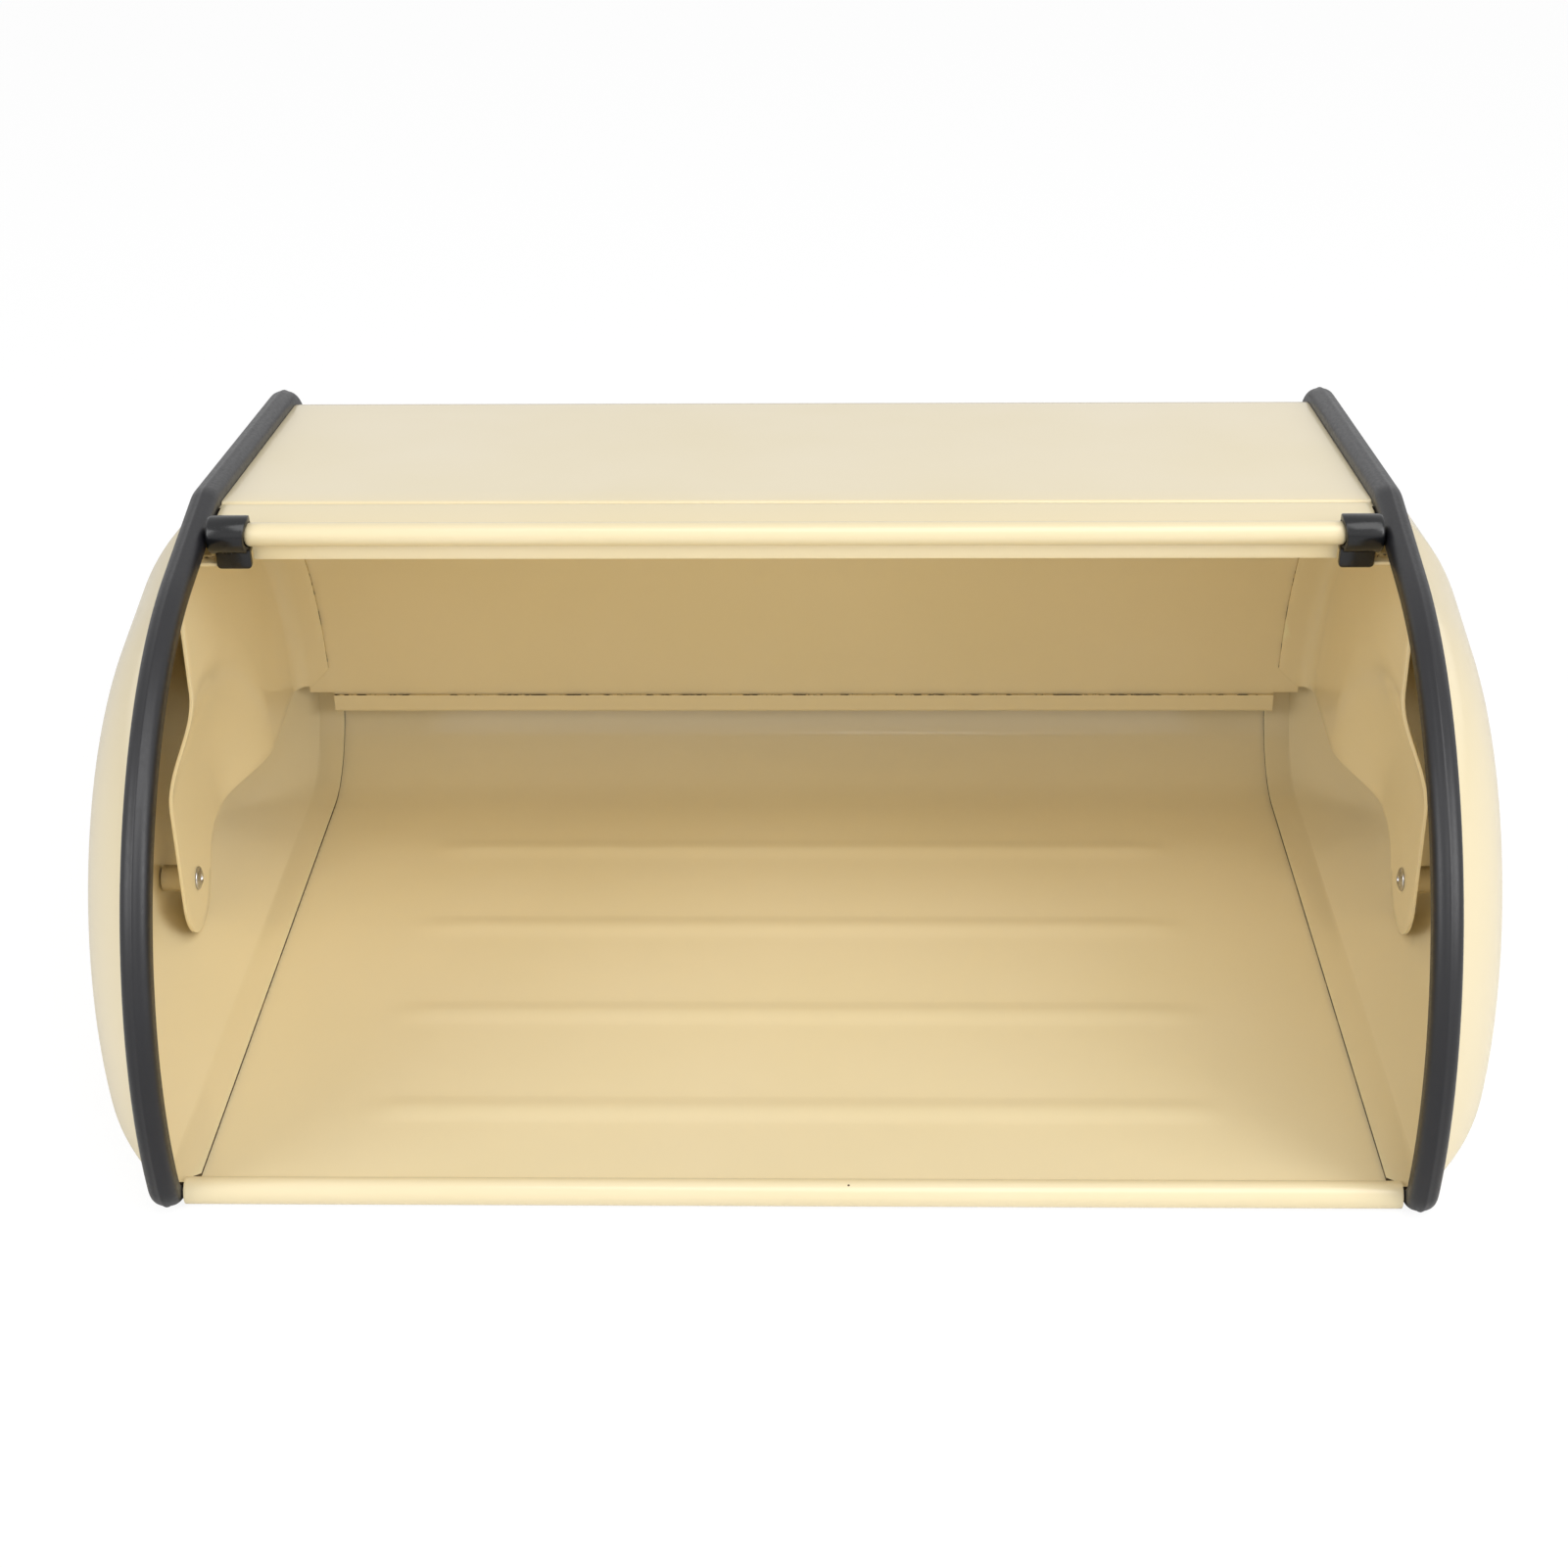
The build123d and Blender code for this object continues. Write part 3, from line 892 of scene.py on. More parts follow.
@dataclass
class EdgeTrim:
    """The dark channel round the rim of one end, with a fine raised centre line."""

    side: Side
    inner_x: float = 137.2
    width: float = 6.6
    wall: float = 1.4
    proud: float = 4.0
    leg_top: float = 1.0
    inner_leg_foot: float = -0.8
    outer_leg_foot: float = 0.3
    web_gap: float = 0.3
    crown_power: float = 2.2
    crown_steps: int = 24
    ridge_half: float = 0.3
    ridge_height: float = 0.28
    ridge_sink: float = 0.01
    ridge_clear: float = 0.9

    def section(self) -> np.ndarray:
        """Return the channel's section as x and outward offset, mm."""
        half = self.width / 2
        middle = self.inner_x + half
        crest = self.proud - self.ridge_height
        share = np.cos(np.radians(np.linspace(180.0, 0.0, self.crown_steps + 1)))
        rise = (1.0 - np.abs(share) ** self.crown_power) ** (1.0 / self.crown_power)
        heights = self.leg_top + (crest - self.leg_top) * rise
        crown = np.stack([middle + half * share, heights], axis=1)
        left = crown[crown[:, 0] < middle - self.ridge_clear]
        right = crown[crown[:, 0] > middle + self.ridge_clear]
        foot, shoulder = crest - self.ridge_sink, crest + self.ridge_height * 0.75
        shape = ((-2.2, foot), (-1.0, shoulder), (0.0, self.proud), (1.0, shoulder), (2.2, foot))
        ridge = [(middle + out * self.ridge_half, height) for out, height in shape]
        web = self.proud - self.wall - self.web_gap
        inner_leg, outer_leg = self.inner_x + self.wall, self.inner_x + self.width - self.wall
        outer_foot, inner_foot = self.outer_leg_foot, self.inner_leg_foot
        inner = [(outer_leg, outer_foot), (outer_leg, web), (inner_leg, web)]
        inner.append((inner_leg, inner_foot))
        end = (self.inner_x + self.width, outer_foot)
        return np.vstack([(self.inner_x, inner_foot), left, ridge, right, end, inner])

    def build(self, vinyl: Material) -> None:
        """Build and dress the trim.

        Args:
            vinyl: The channel's finish.
        """
        section = self.section()
        loops = np.array([OUTLINE.loop(grow) for grow in section[:, 1]])
        sheet = Sheet()
        across = section[:, :1] * self.side.value
        sheet.grid(stacked(across, loops), wrap_rows=True, wrap_columns=True)
        piece = settle(sheet.make(f"{self.side.word}_trim"), 60.0)
        dress(piece, [vinyl], Body.BOX, [f"{self.side.word}_edge_trim"])


@dataclass
class LidFrame:
    """Sizes that the lid's pieces share, with places in polar form about the pivot."""

    pivot: Pair = (98.0, 21.5)
    outer_r: float = 97.2
    half_width: float = 141.8
    rear_deg: float = 1.0
    front_deg: float = 99.5
    bead_r: float = 2.8
    bead_centre_r: float = 103.4
    bead_half_length: float = 128.4

    def bead_points(self, out: Number, forward: Number) -> np.ndarray:
        """Return side-view points near the bead.

        Args:
            out: Distance from the bead's centre, away from the pivot, mm.
            forward: Distance from it towards the front, mm.

        Returns:
            Each point's y and z, mm, as the last axis.
        """
        centre = polar(self.bead_centre_r, self.front_deg, self.pivot)
        turn = math.radians(self.front_deg)
        ys = centre[0] + out * math.cos(turn) - forward * math.sin(turn)
        zs = centre[1] + out * math.sin(turn) + forward * math.cos(turn)
        return np.stack([ys, zs], axis=-1)

    def turned(self, across: np.ndarray, radii: np.ndarray, turns: np.ndarray) -> Sheet:
        """Return a closed form about the bead's centre line.

        Args:
            across: Each point's x, or one for each row, mm.
            radii: Each point's radius, or one for each row, mm.
            turns: Each column's angle, degrees.

        Returns:
            The form, with both ends closed by a fan.
        """
        angle = np.radians(turns)
        sides = self.bead_points(radii * np.cos(angle), radii * np.sin(angle))
        points = stacked(across, sides)
        sheet = Sheet()
        sheet.grid(points, wrap_columns=True)
        for ring in (points[0], points[-1]):
            sheet.fan(ring, (ring[0, 0], *self.bead_points(0.0, 0.0)))
        return sheet


@dataclass
class LidSheet:
    """The curved sheet of the lid with its rear hem, front riser and rolled bead."""

    frame: LidFrame
    hem_length: float = 5.0
    hem_turn_r: float = 0.5
    hem_end_x: float = 135.3
    edge_deg: float = 0.4
    fold_deg: float = 0.3
    riser_half_width: float = 126.8
    riser_foot_r: float = 97.0
    riser_shares: tuple[float, ...] = (0.3, 0.6, 0.85, 1.0)
    bend_r: float = 0.7
    band_lift: float = 6.1
    band_rear_y: float = 97.17
    band_lean_deg: float = 0.12
    band_end_x: Pair = (136.3, 136.86)
    bead_round_r: float = 1.3
    # Where the mesh has its rows and columns.
    even_end_deg: float = 86.0
    row_deg: float = 0.8
    fine_row_deg: float = 0.7
    inner_xs: tuple[float, ...] = (0.0, 30.0, 60.0, 90.0, 115.0)
    hem_xs: tuple[float, ...] = (131.0, 134.4, 134.9)
    outer_xs: tuple[float, ...] = (139.0, 141.4)

    def build(self, steel: Sequence[Material]) -> None:
        """Build and dress the lid sheet.

        Args:
            steel: The coat and the cut edge.
        """
        middle = self.frame.outer_r - SHEET / 2
        rear_deg, pivot = self.frame.rear_deg, self.frame.pivot
        hem_start = rear_deg + math.degrees(self.hem_length / middle)
        hem_turns = np.linspace(hem_start, rear_deg + self.edge_deg, 5)
        hem = polar(middle - 2 * self.hem_turn_r, hem_turns, pivot)
        fold = polar(middle - self.hem_turn_r, rear_deg + self.fold_deg, pivot)
        turned = polar(self.hem_turn_r, np.linspace(-170.0, -10.0, 7) + rear_deg, fold)
        band_deg = math.degrees(math.acos((self.band_rear_y - SHEET / 2 - pivot[0]) / middle))
        turns = self.turns(band_deg)
        rows = np.vstack([hem, turned, polar(middle, turns, pivot), self.riser(middle)])
        hem_rows = len(hem) + len(turned)
        sheet_rows = hem_rows + len(turns)
        columns = self.columns()
        points = stacked(columns[None, :], rows[:, None, :])
        raised = self.lift(turns, columns, band_deg)[:, :, None]
        points[hem_rows:sheet_rows, :, 1:] += raised * polar(1.0, turns, (0.0, 0.0))[:, None, :]
        limits = np.full(len(rows), self.frame.half_width)
        limits[: hem_rows + np.count_nonzero(turns < hem_start)] = self.hem_end_x
        limits[sheet_rows - 1 :] = self.riser_half_width
        reach = np.abs(columns)
        sheet = Sheet()
        sheet.grid(points, keep=np.maximum(reach[:-1], reach[1:]) <= limits[:, None] + GAP)
        piece = sheet.make("lid_curve")
        thicken(piece)
        join(settle(piece), self.bead())
        dress(piece, steel, Body.LID, ["lid_sheet"])

    def turns(self, band_deg: float) -> np.ndarray:
        """Return the angles of the curved sheet's rows, which are closer near the band.

        Args:
            band_deg: The angle at which the band begins, degrees.

        Returns:
            Increasing angles, degrees.
        """
        start = self.frame.rear_deg + self.edge_deg
        end = self.frame.front_deg - self.edge_deg
        runs = [
            np.linspace(start, self.even_end_deg, 60),
            np.arange(self.even_end_deg + self.row_deg, band_deg - 0.3, self.row_deg),
            band_deg + self.band_lean_deg * np.linspace(0.0, 1.0, 5),
            np.arange(band_deg + self.fine_row_deg, end - 0.2, self.fine_row_deg),
            [end],
        ]
        return np.concatenate(runs)

    def riser(self, middle: float) -> np.ndarray:
        """Return the side-view points of the bend and the riser down to the bead.

        Args:
            middle: The radius of the sheet's middle, mm.

        Returns:
            Each point's y and z, mm.
        """
        top = middle + self.band_lift - self.frame.bead_centre_r
        foot = self.riser_foot_r - self.frame.bead_centre_r
        centre = (top - self.bend_r, -SHEET / 2)
        bend = polar(self.bend_r, np.linspace(0.0, 90.0, 5)[1:], centre)
        outs = top + (foot - top) * np.array(self.riser_shares)
        straight = self.frame.bead_points(outs, self.bend_r - SHEET / 2)
        return np.vstack([self.frame.bead_points(bend[:, 0], bend[:, 1]), straight])

    def columns(self) -> np.ndarray:
        """Return x stations, close together where the band and the hem end."""
        inner = [*self.inner_xs, self.riser_half_width, *self.hem_xs]
        outer = [*self.outer_xs, self.frame.half_width]
        return mirrored(np.concatenate([inner, np.linspace(*self.band_end_x, 5), outer]))

    def lift(self, turns: np.ndarray, columns: np.ndarray, start: float) -> np.ndarray:
        """Return how far the band behind the bead stands out of the sheet.

        Args:
            turns: The rows' angles, degrees.
            columns: The columns' x, mm.
            start: The angle at which the band begins, degrees.

        Returns:
            Heights by row and column, mm.
        """
        near, far = self.band_end_x
        rise = smooth_step((turns - start) / self.band_lean_deg)
        fade = smooth_step((far - np.abs(columns)) / (far - near))
        return self.band_lift * rise[:, None] * fade[None, :]

    def bead(self) -> Piece:
        """Return the rolled bead with rounded ends."""
        round_r, bead_r = self.bead_round_r, self.frame.bead_r
        centre = (round_r - self.frame.bead_half_length, bead_r - round_r)
        ends = polar(round_r, np.linspace(180.0, 90.0, 6), centre)
        straight = [(x, bead_r) for x in np.linspace(-100.0, 100.0, 5)]
        stations = np.vstack([ends, straight, ends[::-1] * (-1.0, 1.0)])
        turns = np.linspace(0.0, 360.0, 41)[:-1]
        return settle(self.frame.turned(stations[:, :1], stations[:, 1:], turns).make("bead"))


@dataclass
class LidEnd:
    """The fan-shaped end of the lid: flange, flat fan, joggle and round neck."""

    side: Side
    frame: LidFrame
    neck_x: float = 154.8
    fan_x: float = 146.0
    flange_x: float = 135.6
    hole_r: float = 1.65
    disc_rs: tuple[float, ...] = (3.4, 7.0, 11.0)
    neck_r: float = 14.0
    neck_rs: tuple[float, ...] = (16.5, 19.5, 23.0, 27.0)
    joggle: Pair = (30.7, 62.3)
    fan_rs: tuple[float, ...] = (68.0, 75.0, 83.0)
    flange_r: float = 95.95
    flange_bend_r: float = 5.0
    front_rake_deg: float = 2.0
    rear_line_deg: float = 4.34
    rear_line_lift: float = 2.3625
    waist_r: float = 14.0
    chamfer: float = 6.0
    chamfer_shares: tuple[float, ...] = (0.33, 0.66, 1.0)
    columns: int = 44
    lower_columns: int = 24

    def front_deg(self, radius: float) -> float:
        """Return the angle of the fan's front edge at a radius."""
        return 90.0 + self.front_rake_deg + math.degrees(math.asin(self.neck_r / radius))

    def rear_deg(self, radius: float) -> float:
        """Return where the fan's rear edge is: a straight line that a curved waist leads to.

        Args:
            radius: Distance from the pivot, mm.

        Returns:
            The angle about the pivot, degrees.
        """
        reach = self.neck_r + self.waist_r
        across = self.waist_r - self.rear_line_lift
        along = math.sqrt(reach**2 - across**2)
        if radius > math.hypot(along, self.rear_line_lift):
            return self.rear_line_deg + math.degrees(math.asin(self.rear_line_lift / radius))
        centre_deg = self.rear_line_deg - math.degrees(math.atan2(across, along))
        cosine = (radius**2 + reach**2 - self.waist_r**2) / (2 * radius * reach)
        return centre_deg + math.degrees(math.acos(min(1.0, cosine)))

    def build(self, steel: Sequence[Material]) -> None:
        """Build and dress the lid end.

        Args:
            steel: The coat and the cut edge.
        """
        pivot, sign = self.frame.pivot, self.side.value
        share = np.linspace(0.0, 1.0, self.columns + 1)
        start, end = self.rear_deg(self.neck_r), self.front_deg(self.neck_r)
        lower = np.linspace(end, start + 360.0, self.lower_columns + 2)[1:-1]
        ring = np.concatenate([start + (end - start) * share, lower])
        radii = np.array([self.hole_r, *self.disc_rs, self.neck_r])[:, None]
        sheet = Sheet()
        disc = stacked(np.array([[self.neck_x * sign]]), polar(radii, ring, pivot))
        sheet.grid(disc, wrap_columns=True)
        rows = self.stations()
        starts = np.array([[self.rear_deg(r) + math.degrees(cut / r)] for r, _, cut in rows])
        ends = np.array([[self.front_deg(r)] for r, _, _ in rows])
        radii, across = rows[:, :1], rows[:, 1:2]
        fan = polar(radii, starts + (ends - starts) * share, pivot)
        sheet.grid(stacked(across * sign, fan))
        piece = sheet.make(f"{self.side.word}_end_plate")
        thicken(piece)
        settle(piece)
        # The fan's edge stays cream, so only the flange's edge shows the brown breaks of painted
        # shade.
        for face in piece.data.polygons:
            if abs(face.center.x) > (self.flange_x + SHEET) * MM:
                face.material_index = 0
        dress(piece, steel, Body.LID, [f"{self.side.word}_lid_end"])

    def stations(self) -> np.ndarray:
        """Return the fan's rows as radius, x and how much its rear corner is cut, mm."""
        inner, outer = self.joggle
        flat_end, bend_end = self.flange_r - self.flange_bend_r, self.fan_x - self.flange_bend_r
        rows = [(r, self.neck_x, 0.0) for r in (self.neck_r, *self.neck_rs)]
        for share in np.linspace(0.0, 1.0, 17):
            x = self.neck_x + (self.fan_x - self.neck_x) * smooth_step(share)
            rows.append((inner + (outer - inner) * share, x, 0.0))
        rows += [(r, self.fan_x, 0.0) for r in (*self.fan_rs, flat_end)]
        bend = polar(self.flange_bend_r, np.linspace(90.0, 0.0, 10)[1:], (flat_end, bend_end))
        rows += [(r, x, 0.0) for r, x in bend]
        for share in self.chamfer_shares:
            x = bend_end + (self.flange_x - bend_end) * share
            rows.append((self.flange_r, x, self.chamfer * share))
        return np.array(rows)


@dataclass
class BeadClip:
    """The black bumper on one end of the bead: a sleeve and a flat tab."""

    side: Side
    frame: LidFrame
    start_x: float = 127.2
    end_x: float = 136.8
    outer_r: float = 4.5
    bore_r: float = 2.9
    bore_wall: float = 0.12
    bore_end_x: float = 129.2
    bore_round: float = 0.15
    # How far each row of the mouth's and the end's rounding lies from the rim and the skin.
    mouth_round: tuple[Pair, ...] = ((0.0, 0.25), (0.08, 0.08), (0.25, 0.0))
    end_round: tuple[Pair, ...] = ((0.9, 0.0), (0.35, 0.15), (0.08, 0.5), (0.0, 0.95))
    mouth_hollow: float = 0.9
    back: float = 2.25
    tab_out: Pair = (-7.9, -2.9)
    tab_forward: Pair = (0.92, 2.7)
    tab_x: Pair = (127.1, 135.3)
    tab_corner_r: float = 1.0

    def build(self, plastic: Material) -> None:
        """Build and dress the clip.

        Args:
            plastic: The clip's finish.
        """
        piece = self.sleeve()
        join(piece, self.tab())
        shade(piece.data, 40.0)
        dress(piece, [plastic], Body.LID, [f"{self.side.word}_bead_clip"])

    def sleeve(self) -> Piece:
        """Return the sleeve, flat at its back, with a mouth that is hollow at the front."""
        turns = np.linspace(0.0, 360.0, 65)[:-1]
        sines = np.sin(np.radians(turns))
        outer = self.back / np.maximum(-sines, self.back / self.outer_r)
        bore = np.minimum(self.bore_r, outer - self.bore_wall)
        mouth = self.start_x + self.mouth_hollow * np.maximum(sines, 0.0) ** 1.5
        far = np.full(len(turns), self.end_x)
        bore_end = np.full(len(turns), self.bore_end_x + self.mouth_hollow)
        rows = [(bore_end, bore), (mouth + self.bore_round, bore)]
        rows.append((mouth, bore + self.bore_round))
        rows += [(mouth + along, outer - sunk) for along, sunk in self.mouth_round]
        rows += [(far - along, outer - sunk) for along, sunk in self.end_round]
        across, radii = np.swapaxes(np.array(rows), 0, 1)
        sheet = self.frame.turned(across * self.side.value, radii, turns)
        return settle(sheet.make(f"{self.side.word}_clip"))

    def tab(self) -> Piece:
        """Return the flat tab below the sleeve, with rounded lower corners."""
        low, high = self.tab_out
        left, right = self.tab_x
        radius = self.tab_corner_r
        outline = [np.array([(right, high), (left, high)])]
        for centre_x, start in ((left + radius, 180.0), (right - radius, 270.0)):
            turns = np.linspace(start, start + 90.0, 6)
            outline.append(polar(radius, turns, (centre_x, low + radius)))
        across, outs = np.vstack(outline).T
        sides = self.frame.bead_points(outs[None, :], np.array(self.tab_forward)[:, None])
        points = stacked(across[None, :] * self.side.value, sides)
        sheet = Sheet()
        sheet.grid(points, wrap_columns=True)
        base, number = sheet.add_points(points), len(across)
        sheet.faces.append(tuple(range(base, base + number)))
        sheet.faces.append(tuple(range(base + 2 * number - 1, base + number - 1, -1)))
        piece = sheet.make(f"{self.side.word}_clip_tab")
        soften(piece, 0.3)
        return settle(piece)


@dataclass
class PivotRivets:
    """The two hollow rivets, set by a node tree on the pivot line."""

    frame: LidFrame
    head_x: float = 154.3
    head_r: float = 3.1
    head_height: float = 1.0
    shank_r: float = 1.6
    hole_r: float = 0.95
    hole_depth: float = 0.5
    outer_x: float = 164.44

    def profile(self) -> np.ndarray:
        """Return the rivet's half section as x and radius, from the hole to the outer head."""
        head_x, outer_x, head_r, hole_r = self.head_x, self.outer_x, self.head_r, self.hole_r
        face = head_x - self.head_height
        points = [
            (head_x + self.hole_depth, 0.0),
            (head_x + self.hole_depth, hole_r * 0.5),
            (head_x + 0.3, hole_r * 0.92),
            (face + 0.35, hole_r),
            (face + 0.12, hole_r + 0.14),
            (face, hole_r + 0.42),
            (face + 0.05, hole_r + 0.75),
            (face + 0.24, hole_r + 1.15),
            (face + 0.5, head_r - 0.35),
            (face + 0.72, head_r - 0.08),
            (face + 0.86, head_r),
            (head_x, head_r - 0.06),
            (head_x, self.shank_r),
            (outer_x, self.shank_r),
            (outer_x, head_r - 0.05),
            (outer_x + 0.12, head_r),
            (outer_x + 0.4, head_r - 0.15),
            (outer_x + 0.8, head_r - 0.9),
            (outer_x + 0.98, 1.3),
            (outer_x + 0.98, 0.0),
        ]
        return np.array(points)

    def build(self, metal: Material) -> None:
        """Build and dress both rivets.

        Args:
            metal: The rivets' finish.
        """
        profile = self.profile()
        turns = np.linspace(0.0, 360.0, 37)[:-1]
        sides = polar(profile[:, 1:], turns, (DEPTH_MIDDLE, -STAND_HEIGHT))
        sheet = Sheet()
        sheet.grid(stacked(profile[:, :1] - self.head_x, sides), wrap_columns=True)
        piece = sheet.make("pivot_rivets")
        piece.data.materials.append(metal)
        tree, sockets = self.pair_tree(metal)
        pair = piece.modifiers.new("pair", "NODES")
        pair.node_group = tree
        y, z = to_row(np.array([0.0, *self.frame.pivot]))[1:]
        pair[sockets["Pivot"]] = (0.0, float(y), float(z))
        pair[sockets["Reach"]] = self.head_x * MM
        settle(piece, 35.0)
        dress(piece, [metal], Body.BOX, ["left_pivot_rivet", "right_pivot_rivet"])

    @staticmethod
    def pair_tree(metal: Material) -> tuple[bpy.types.NodeTree, dict[str, str]]:
        """Build the tree that sets a rivet at each end of the pivot line.

        Args:
            metal: The finish that the tree gives.

        Returns:
            The tree, and each named input's identifier.
        """
        tree = bpy.data.node_groups.new("rivet_pair", "GeometryNodeTree")
        face = tree.interface
        for way in ("OUTPUT", "INPUT"):
            face.new_socket("Geometry", in_out=way, socket_type="NodeSocketGeometry")
        sockets = {}
        for name, kind in (("Pivot", "NodeSocketVector"), ("Reach", "NodeSocketFloat")):
            sockets[name] = face.new_socket(name, in_out="INPUT", socket_type=kind).identifier
        given = add_node(tree, "NodeGroupInput").outputs
        ways = []
        for factor in (2.0, -1.0):
            scaled = {0: given["Reach"], 1: factor}
            length = add_node(tree, "ShaderNodeMath", scaled, operation="MULTIPLY").outputs[0]
            ways.append(add_node(tree, "ShaderNodeCombineXYZ", {"X": length}).outputs[0])
        sides = {0: given["Pivot"], 1: ways[1]}
        start = add_node(tree, "ShaderNodeVectorMath", sides, operation="ADD").outputs[0]
        ends = {"Count": 2, "Start Location": start, "Offset": ways[0]}
        line = add_node(tree, "GeometryNodeMeshLine", ends).outputs["Mesh"]
        index = add_node(tree, "GeometryNodeInputIndex").outputs[0]
        half_turn = {"Value": index, "To Min": math.pi, "To Max": 0.0}
        turned = add_node(tree, "ShaderNodeMapRange", half_turn).outputs["Result"]
        spin = add_node(tree, "ShaderNodeCombineXYZ", {"Z": turned}).outputs[0]
        copies = {"Points": line, "Instance": given["Geometry"], "Rotation": spin}
        placed = add_node(tree, "GeometryNodeInstanceOnPoints", copies).outputs["Instances"]
        real = add_node(tree, "GeometryNodeRealizeInstances", {"Geometry": placed}).outputs[0]
        coating = {"Geometry": real, "Material": metal}
        coated = add_node(tree, "GeometryNodeSetMaterial", coating).outputs["Geometry"]
        add_node(tree, "NodeGroupOutput", {"Geometry": coated})
        return tree, sockets


@dataclass
class PivotBushes:
    """The two spacers behind the lid's necks, which keep their CAD shape."""

    nodes: tuple[str, ...] = ("left_pivot_bush", "right_pivot_bush")

    def dress(self, plastic: Material, objects: dict[str, Piece]) -> None:
        """Give the spacers their finish.

        Args:
            plastic: The finish.
            objects: The frame's CAD objects by node.
        """
        for node in self.nodes:
            for slot in objects[node].material_slots:
                slot.material = plastic
            LOG.info("%s: dressed", node)


@dataclass(frozen=True)
class PhotoCamera:
    """The camera, fitted to the picture that the box was drawn from, with angles in radians."""

    focal_px: float = 2714.0
    image_px: float = 1601.0
    sensor_mm: float = 36.0
    pitch: float = 0.4789
    yaw: float = -0.0245
    roll: float = 0.0108
    place_mm: tuple[float, float, float] = (11.47, -495.7, 357.2)

    def build(self) -> None:
        """Create the camera and make it the scene's."""
        data = bpy.data.cameras.new("camera")
        data.sensor_width = self.sensor_mm
        data.lens = self.focal_px / self.image_px * self.sensor_mm
        data.clip_start = 0.01
        camera = bpy.data.objects.new("camera", data)
        bpy.context.scene.collection.objects.link(camera)
        flat = math.cos(self.pitch)
        ahead = (math.sin(self.yaw) * flat, math.cos(self.yaw) * flat, -math.sin(self.pitch))
        forward = Vector(ahead)
        right = Vector((math.cos(self.yaw), -math.sin(self.yaw), 0.0))
        down = -right.cross(forward)
        level = math.cos(self.roll) * right + math.sin(self.roll) * down
        plumb = -math.sin(self.roll) * right + math.cos(self.roll) * down
        turn = Matrix((level, -plumb, -forward)).transposed().to_4x4()
        place = to_row(np.array(self.place_mm))
        camera.matrix_world = Matrix.Translation(Vector(place.tolist())) @ turn
        bpy.context.scene.camera = camera


@dataclass(frozen=True)
class SoftPanel:
    """One soft studio panel, with places and sizes in metres and power in watts."""

    name: str
    place: tuple[float, float, float]
    aim: tuple[float, float, float]
    size: Pair
    power: float

    def build(self) -> None:
        """Create the panel."""
        data = bpy.data.lights.new(self.name, "AREA")
        data.shape = "RECTANGLE"
        data.size, data.size_y = self.size
        data.energy = self.power
        lamp = bpy.data.objects.new(self.name, data)
        lamp.location = self.place
        way = Vector(self.aim) - Vector(self.place)
        lamp.rotation_euler = way.to_track_quat("-Z", "Y").to_euler()
        bpy.context.scene.collection.objects.link(lamp)


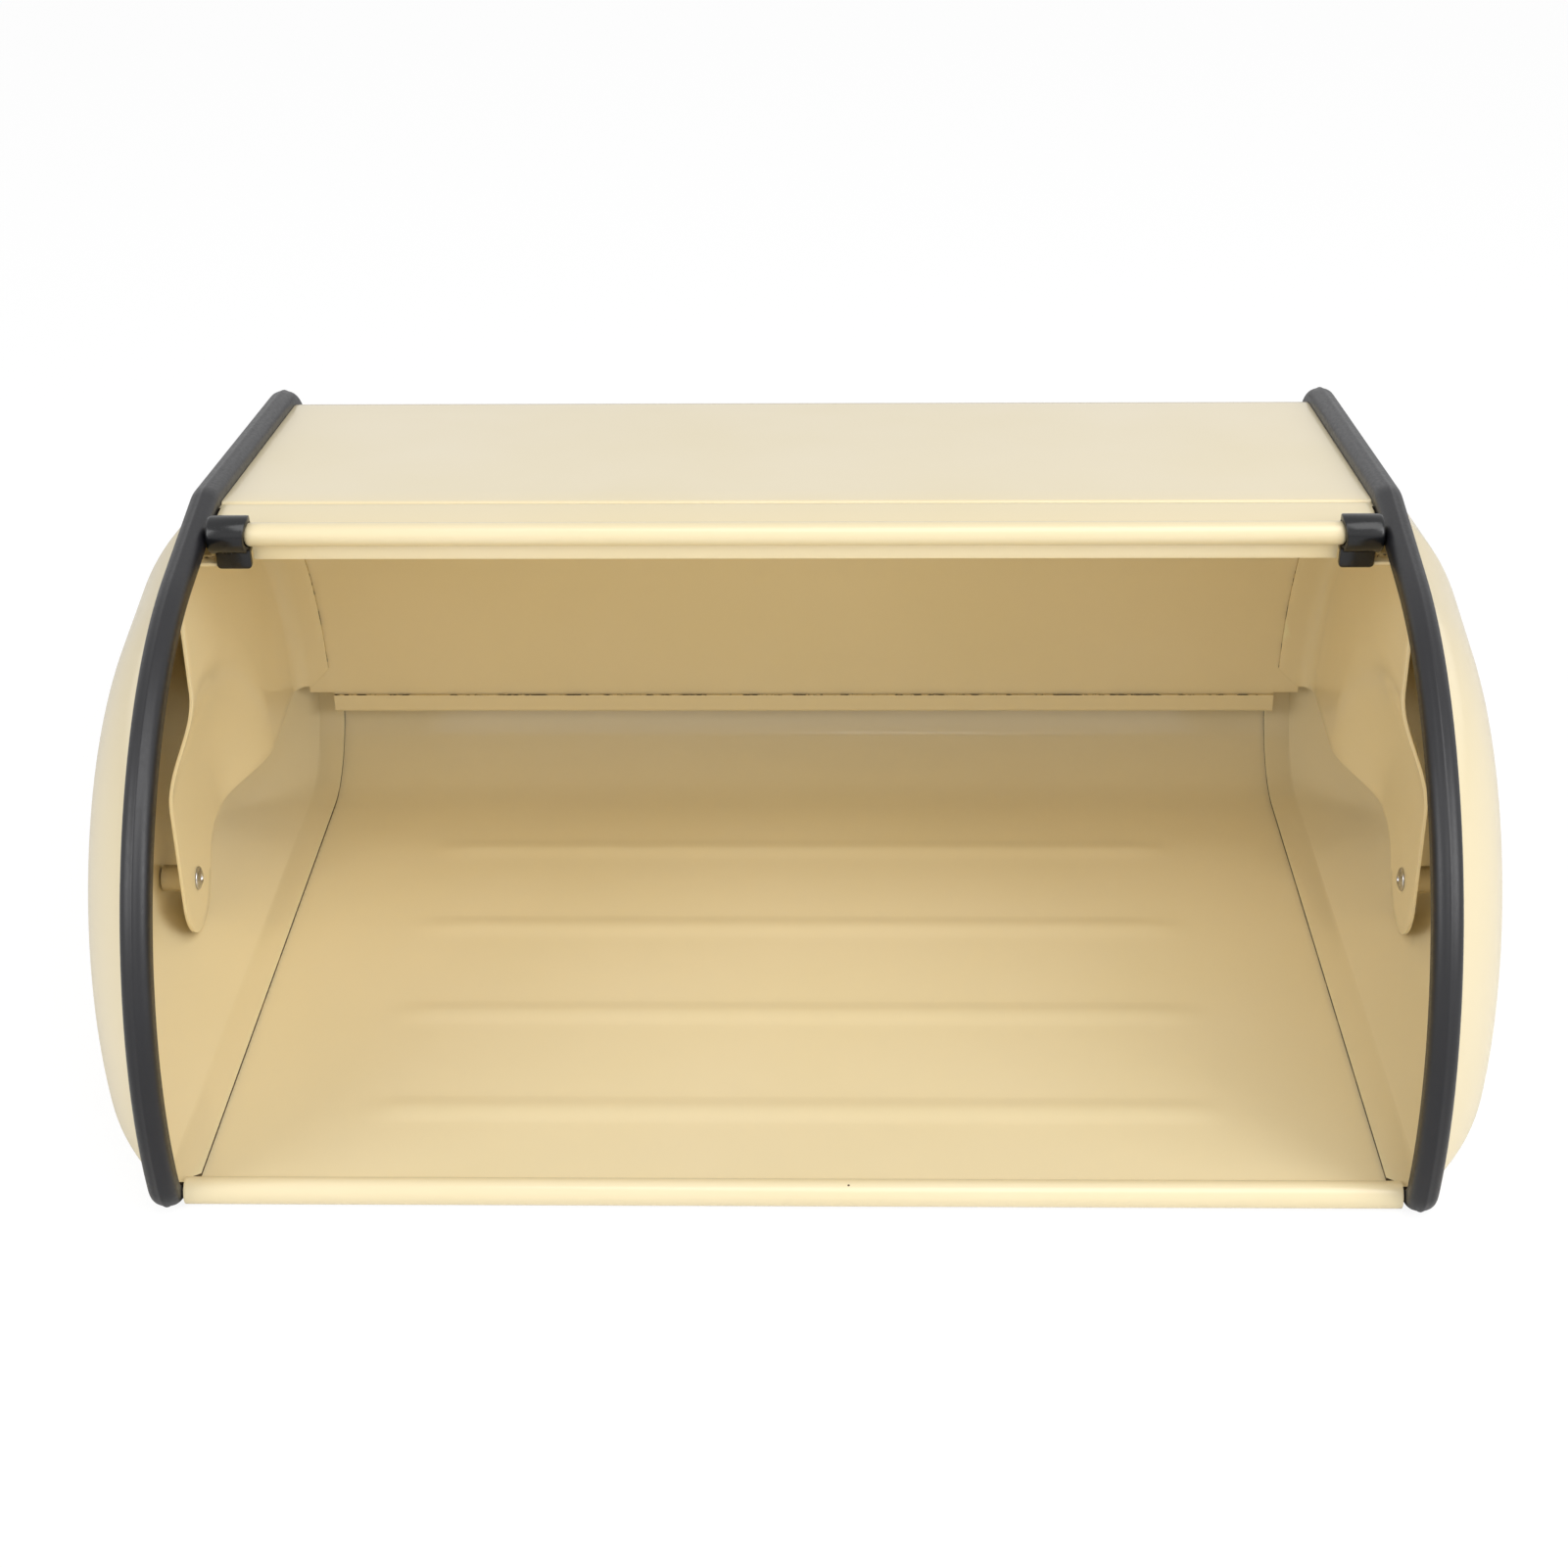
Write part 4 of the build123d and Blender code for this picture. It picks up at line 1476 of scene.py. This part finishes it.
@dataclass(frozen=True)
class Studio:
    """A plain white studio: floor, sky and soft panels."""

    floor_half: float = 4.0
    floor_white: str = "F2F2F2"
    floor_roughness: float = 0.9
    floor_glow: float = 0.85
    glow_strength: float = 1.07
    sky: float = 0.38
    panels: tuple[SoftPanel, ...] = (
        SoftPanel("key_panel", (0.3, -0.6, 1.2), (0.0, 0.0, 0.05), (1.0, 0.8), 6.5),
        SoftPanel("front_panel", (0.1, -1.3, 0.55), (0.0, 0.0, 0.05), (1.2, 0.6), 0.5),
        SoftPanel("right_front", (1.05, -0.85, 0.75), (-0.12, 0.0, 0.05), (0.8, 0.8), 8.2),
        SoftPanel("left_front", (-1.05, -0.85, 0.75), (0.12, 0.0, 0.05), (0.8, 0.8), 6.6),
    )

    def build(self) -> None:
        """Create the floor, the sky and the panels."""
        self.build_floor()
        self.build_sky()
        for panel in self.panels:
            panel.build()

    def build_floor(self) -> None:
        """Create the floor, which is white to the camera and still takes a shadow."""
        half = self.floor_half
        corners = [(-half, -half, 0.0), (half, -half, 0.0), (half, half, 0.0), (-half, half, 0.0)]
        mesh = bpy.data.meshes.new("studio_floor")
        mesh.from_pydata(corners, [], [(0, 1, 2, 3)])
        floor = bpy.data.objects.new("studio_floor", mesh)
        bpy.context.scene.collection.objects.link(floor)
        # A seamless white card: matt, with no edge or tone of its own behind the box.
        sweep = {"Base Color": srgb(self.floor_white), "Roughness": self.floor_roughness}
        card = Surface("white_sweep", sweep)
        tree = card.tree
        seen = add_node(tree, "ShaderNodeLightPath").outputs["Is Camera Ray"]
        part = {0: seen, 1: self.floor_glow}
        share = add_node(tree, "ShaderNodeMath", part, operation="MULTIPLY").outputs[0]
        light = {"Color": WHITE, "Strength": self.glow_strength}
        glow = add_node(tree, "ShaderNodeEmission", light).outputs[0]
        both = {0: share, 1: card.shader.outputs[0], 2: glow}
        mixed = add_node(tree, "ShaderNodeMixShader", both).outputs[0]
        tree.links.new(mixed, tree.nodes["Material Output"].inputs["Surface"])
        mesh.materials.append(card.material)

    def build_sky(self) -> None:
        """Create an even white sky that is full white only where it is seen."""
        world = bpy.data.worlds.new("studio_sky")
        world.use_nodes = True
        bpy.context.scene.world = world
        tree = world.node_tree
        back = tree.nodes["Background"]
        back.inputs["Color"].default_value = WHITE
        path = add_node(tree, "ShaderNodeLightPath").outputs
        seen = path["Is Camera Ray"]
        for kind in ("Is Glossy Ray", "Is Transmission Ray"):
            either = {0: seen, 1: path[kind]}
            seen = add_node(tree, "ShaderNodeMath", either, operation="MAXIMUM").outputs[0]
        dimmed = {"Value": seen, "To Min": self.sky, "To Max": 1.0}
        level = add_node(tree, "ShaderNodeMapRange", dimmed).outputs["Result"]
        tree.links.new(level, back.inputs["Strength"])


@dataclass
class BreadBox:
    """The whole box: its finishes and sub-assemblies, built in order."""

    lid: LidFrame = field(default_factory=LidFrame)

    def build(self, objects: dict[str, Piece]) -> None:
        """Build every piece.

        Args:
            objects: The frame's CAD objects by node.
        """
        coat = Enamel().build()
        # Cut edges: the broken patches are drawn larger than real ones, so that they show.
        # Grey steel that shows in short dashes along the edges of the rolled sheet.
        bare = CutEdge("bare_steel_edge", "85887A", "C9C2A0", 0.47, 2.5).build()
        # Painted shadow: a dark brown edge, so the seam under each end reads as the dark shadow
        # line of its gap.
        seam_shadow_edge = CutEdge("painted_shadow_seam_edge", "35260F", "7A6238", 0.40, 4.0).build()
        # A cream edge with brown breaks of painted shade, for the gaps along the lid's hem and
        # seams.
        broken = CutEdge("gap_shade_coat_edge", "4E4024", "D8C392", 0.52, 5.0).build()
        # Soft extruded vinyl: near black, with a broad dull highlight along its crown.
        vinyl = Plastic("drawn_vinyl", "151519", "1E1E22", 0.38, 0.8).build()
        # Hard moulded nylon: black, with a tight bright highlight.
        black = Plastic("moulded_nylon", "08090C", "101115", 0.22, 0.5).build()
        # Undyed nylon: a dull, warm, milky spacer.
        milky = Plastic("milky_nylon", "D9C8A0", "C9B78F", 0.45, 0.6).build()
        metal = BareMetal().build()
        BodySheet().build((coat, bare))
        LidSheet(self.lid).build((coat, broken))
        for side in Side:
            SideDome(side).build((coat, seam_shadow_edge))
            EdgeTrim(side).build(vinyl)
            LidEnd(side, self.lid).build((coat, broken))
            BeadClip(side, self.lid).build(black)
        PivotRivets(self.lid).build(metal)
        PivotBushes().dress(milky, objects)


def main() -> None:
    """Load the frame, build the box round it and light it."""
    logging.basicConfig(level=logging.INFO, format="%(name)s: %(message)s")
    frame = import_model()
    scene = bpy.context.scene
    scene.view_settings.view_transform = "Standard"
    BreadBox().build(frame["nodes"])
    PhotoCamera().build()
    Studio().build()


if __name__ == "__main__":
    main()
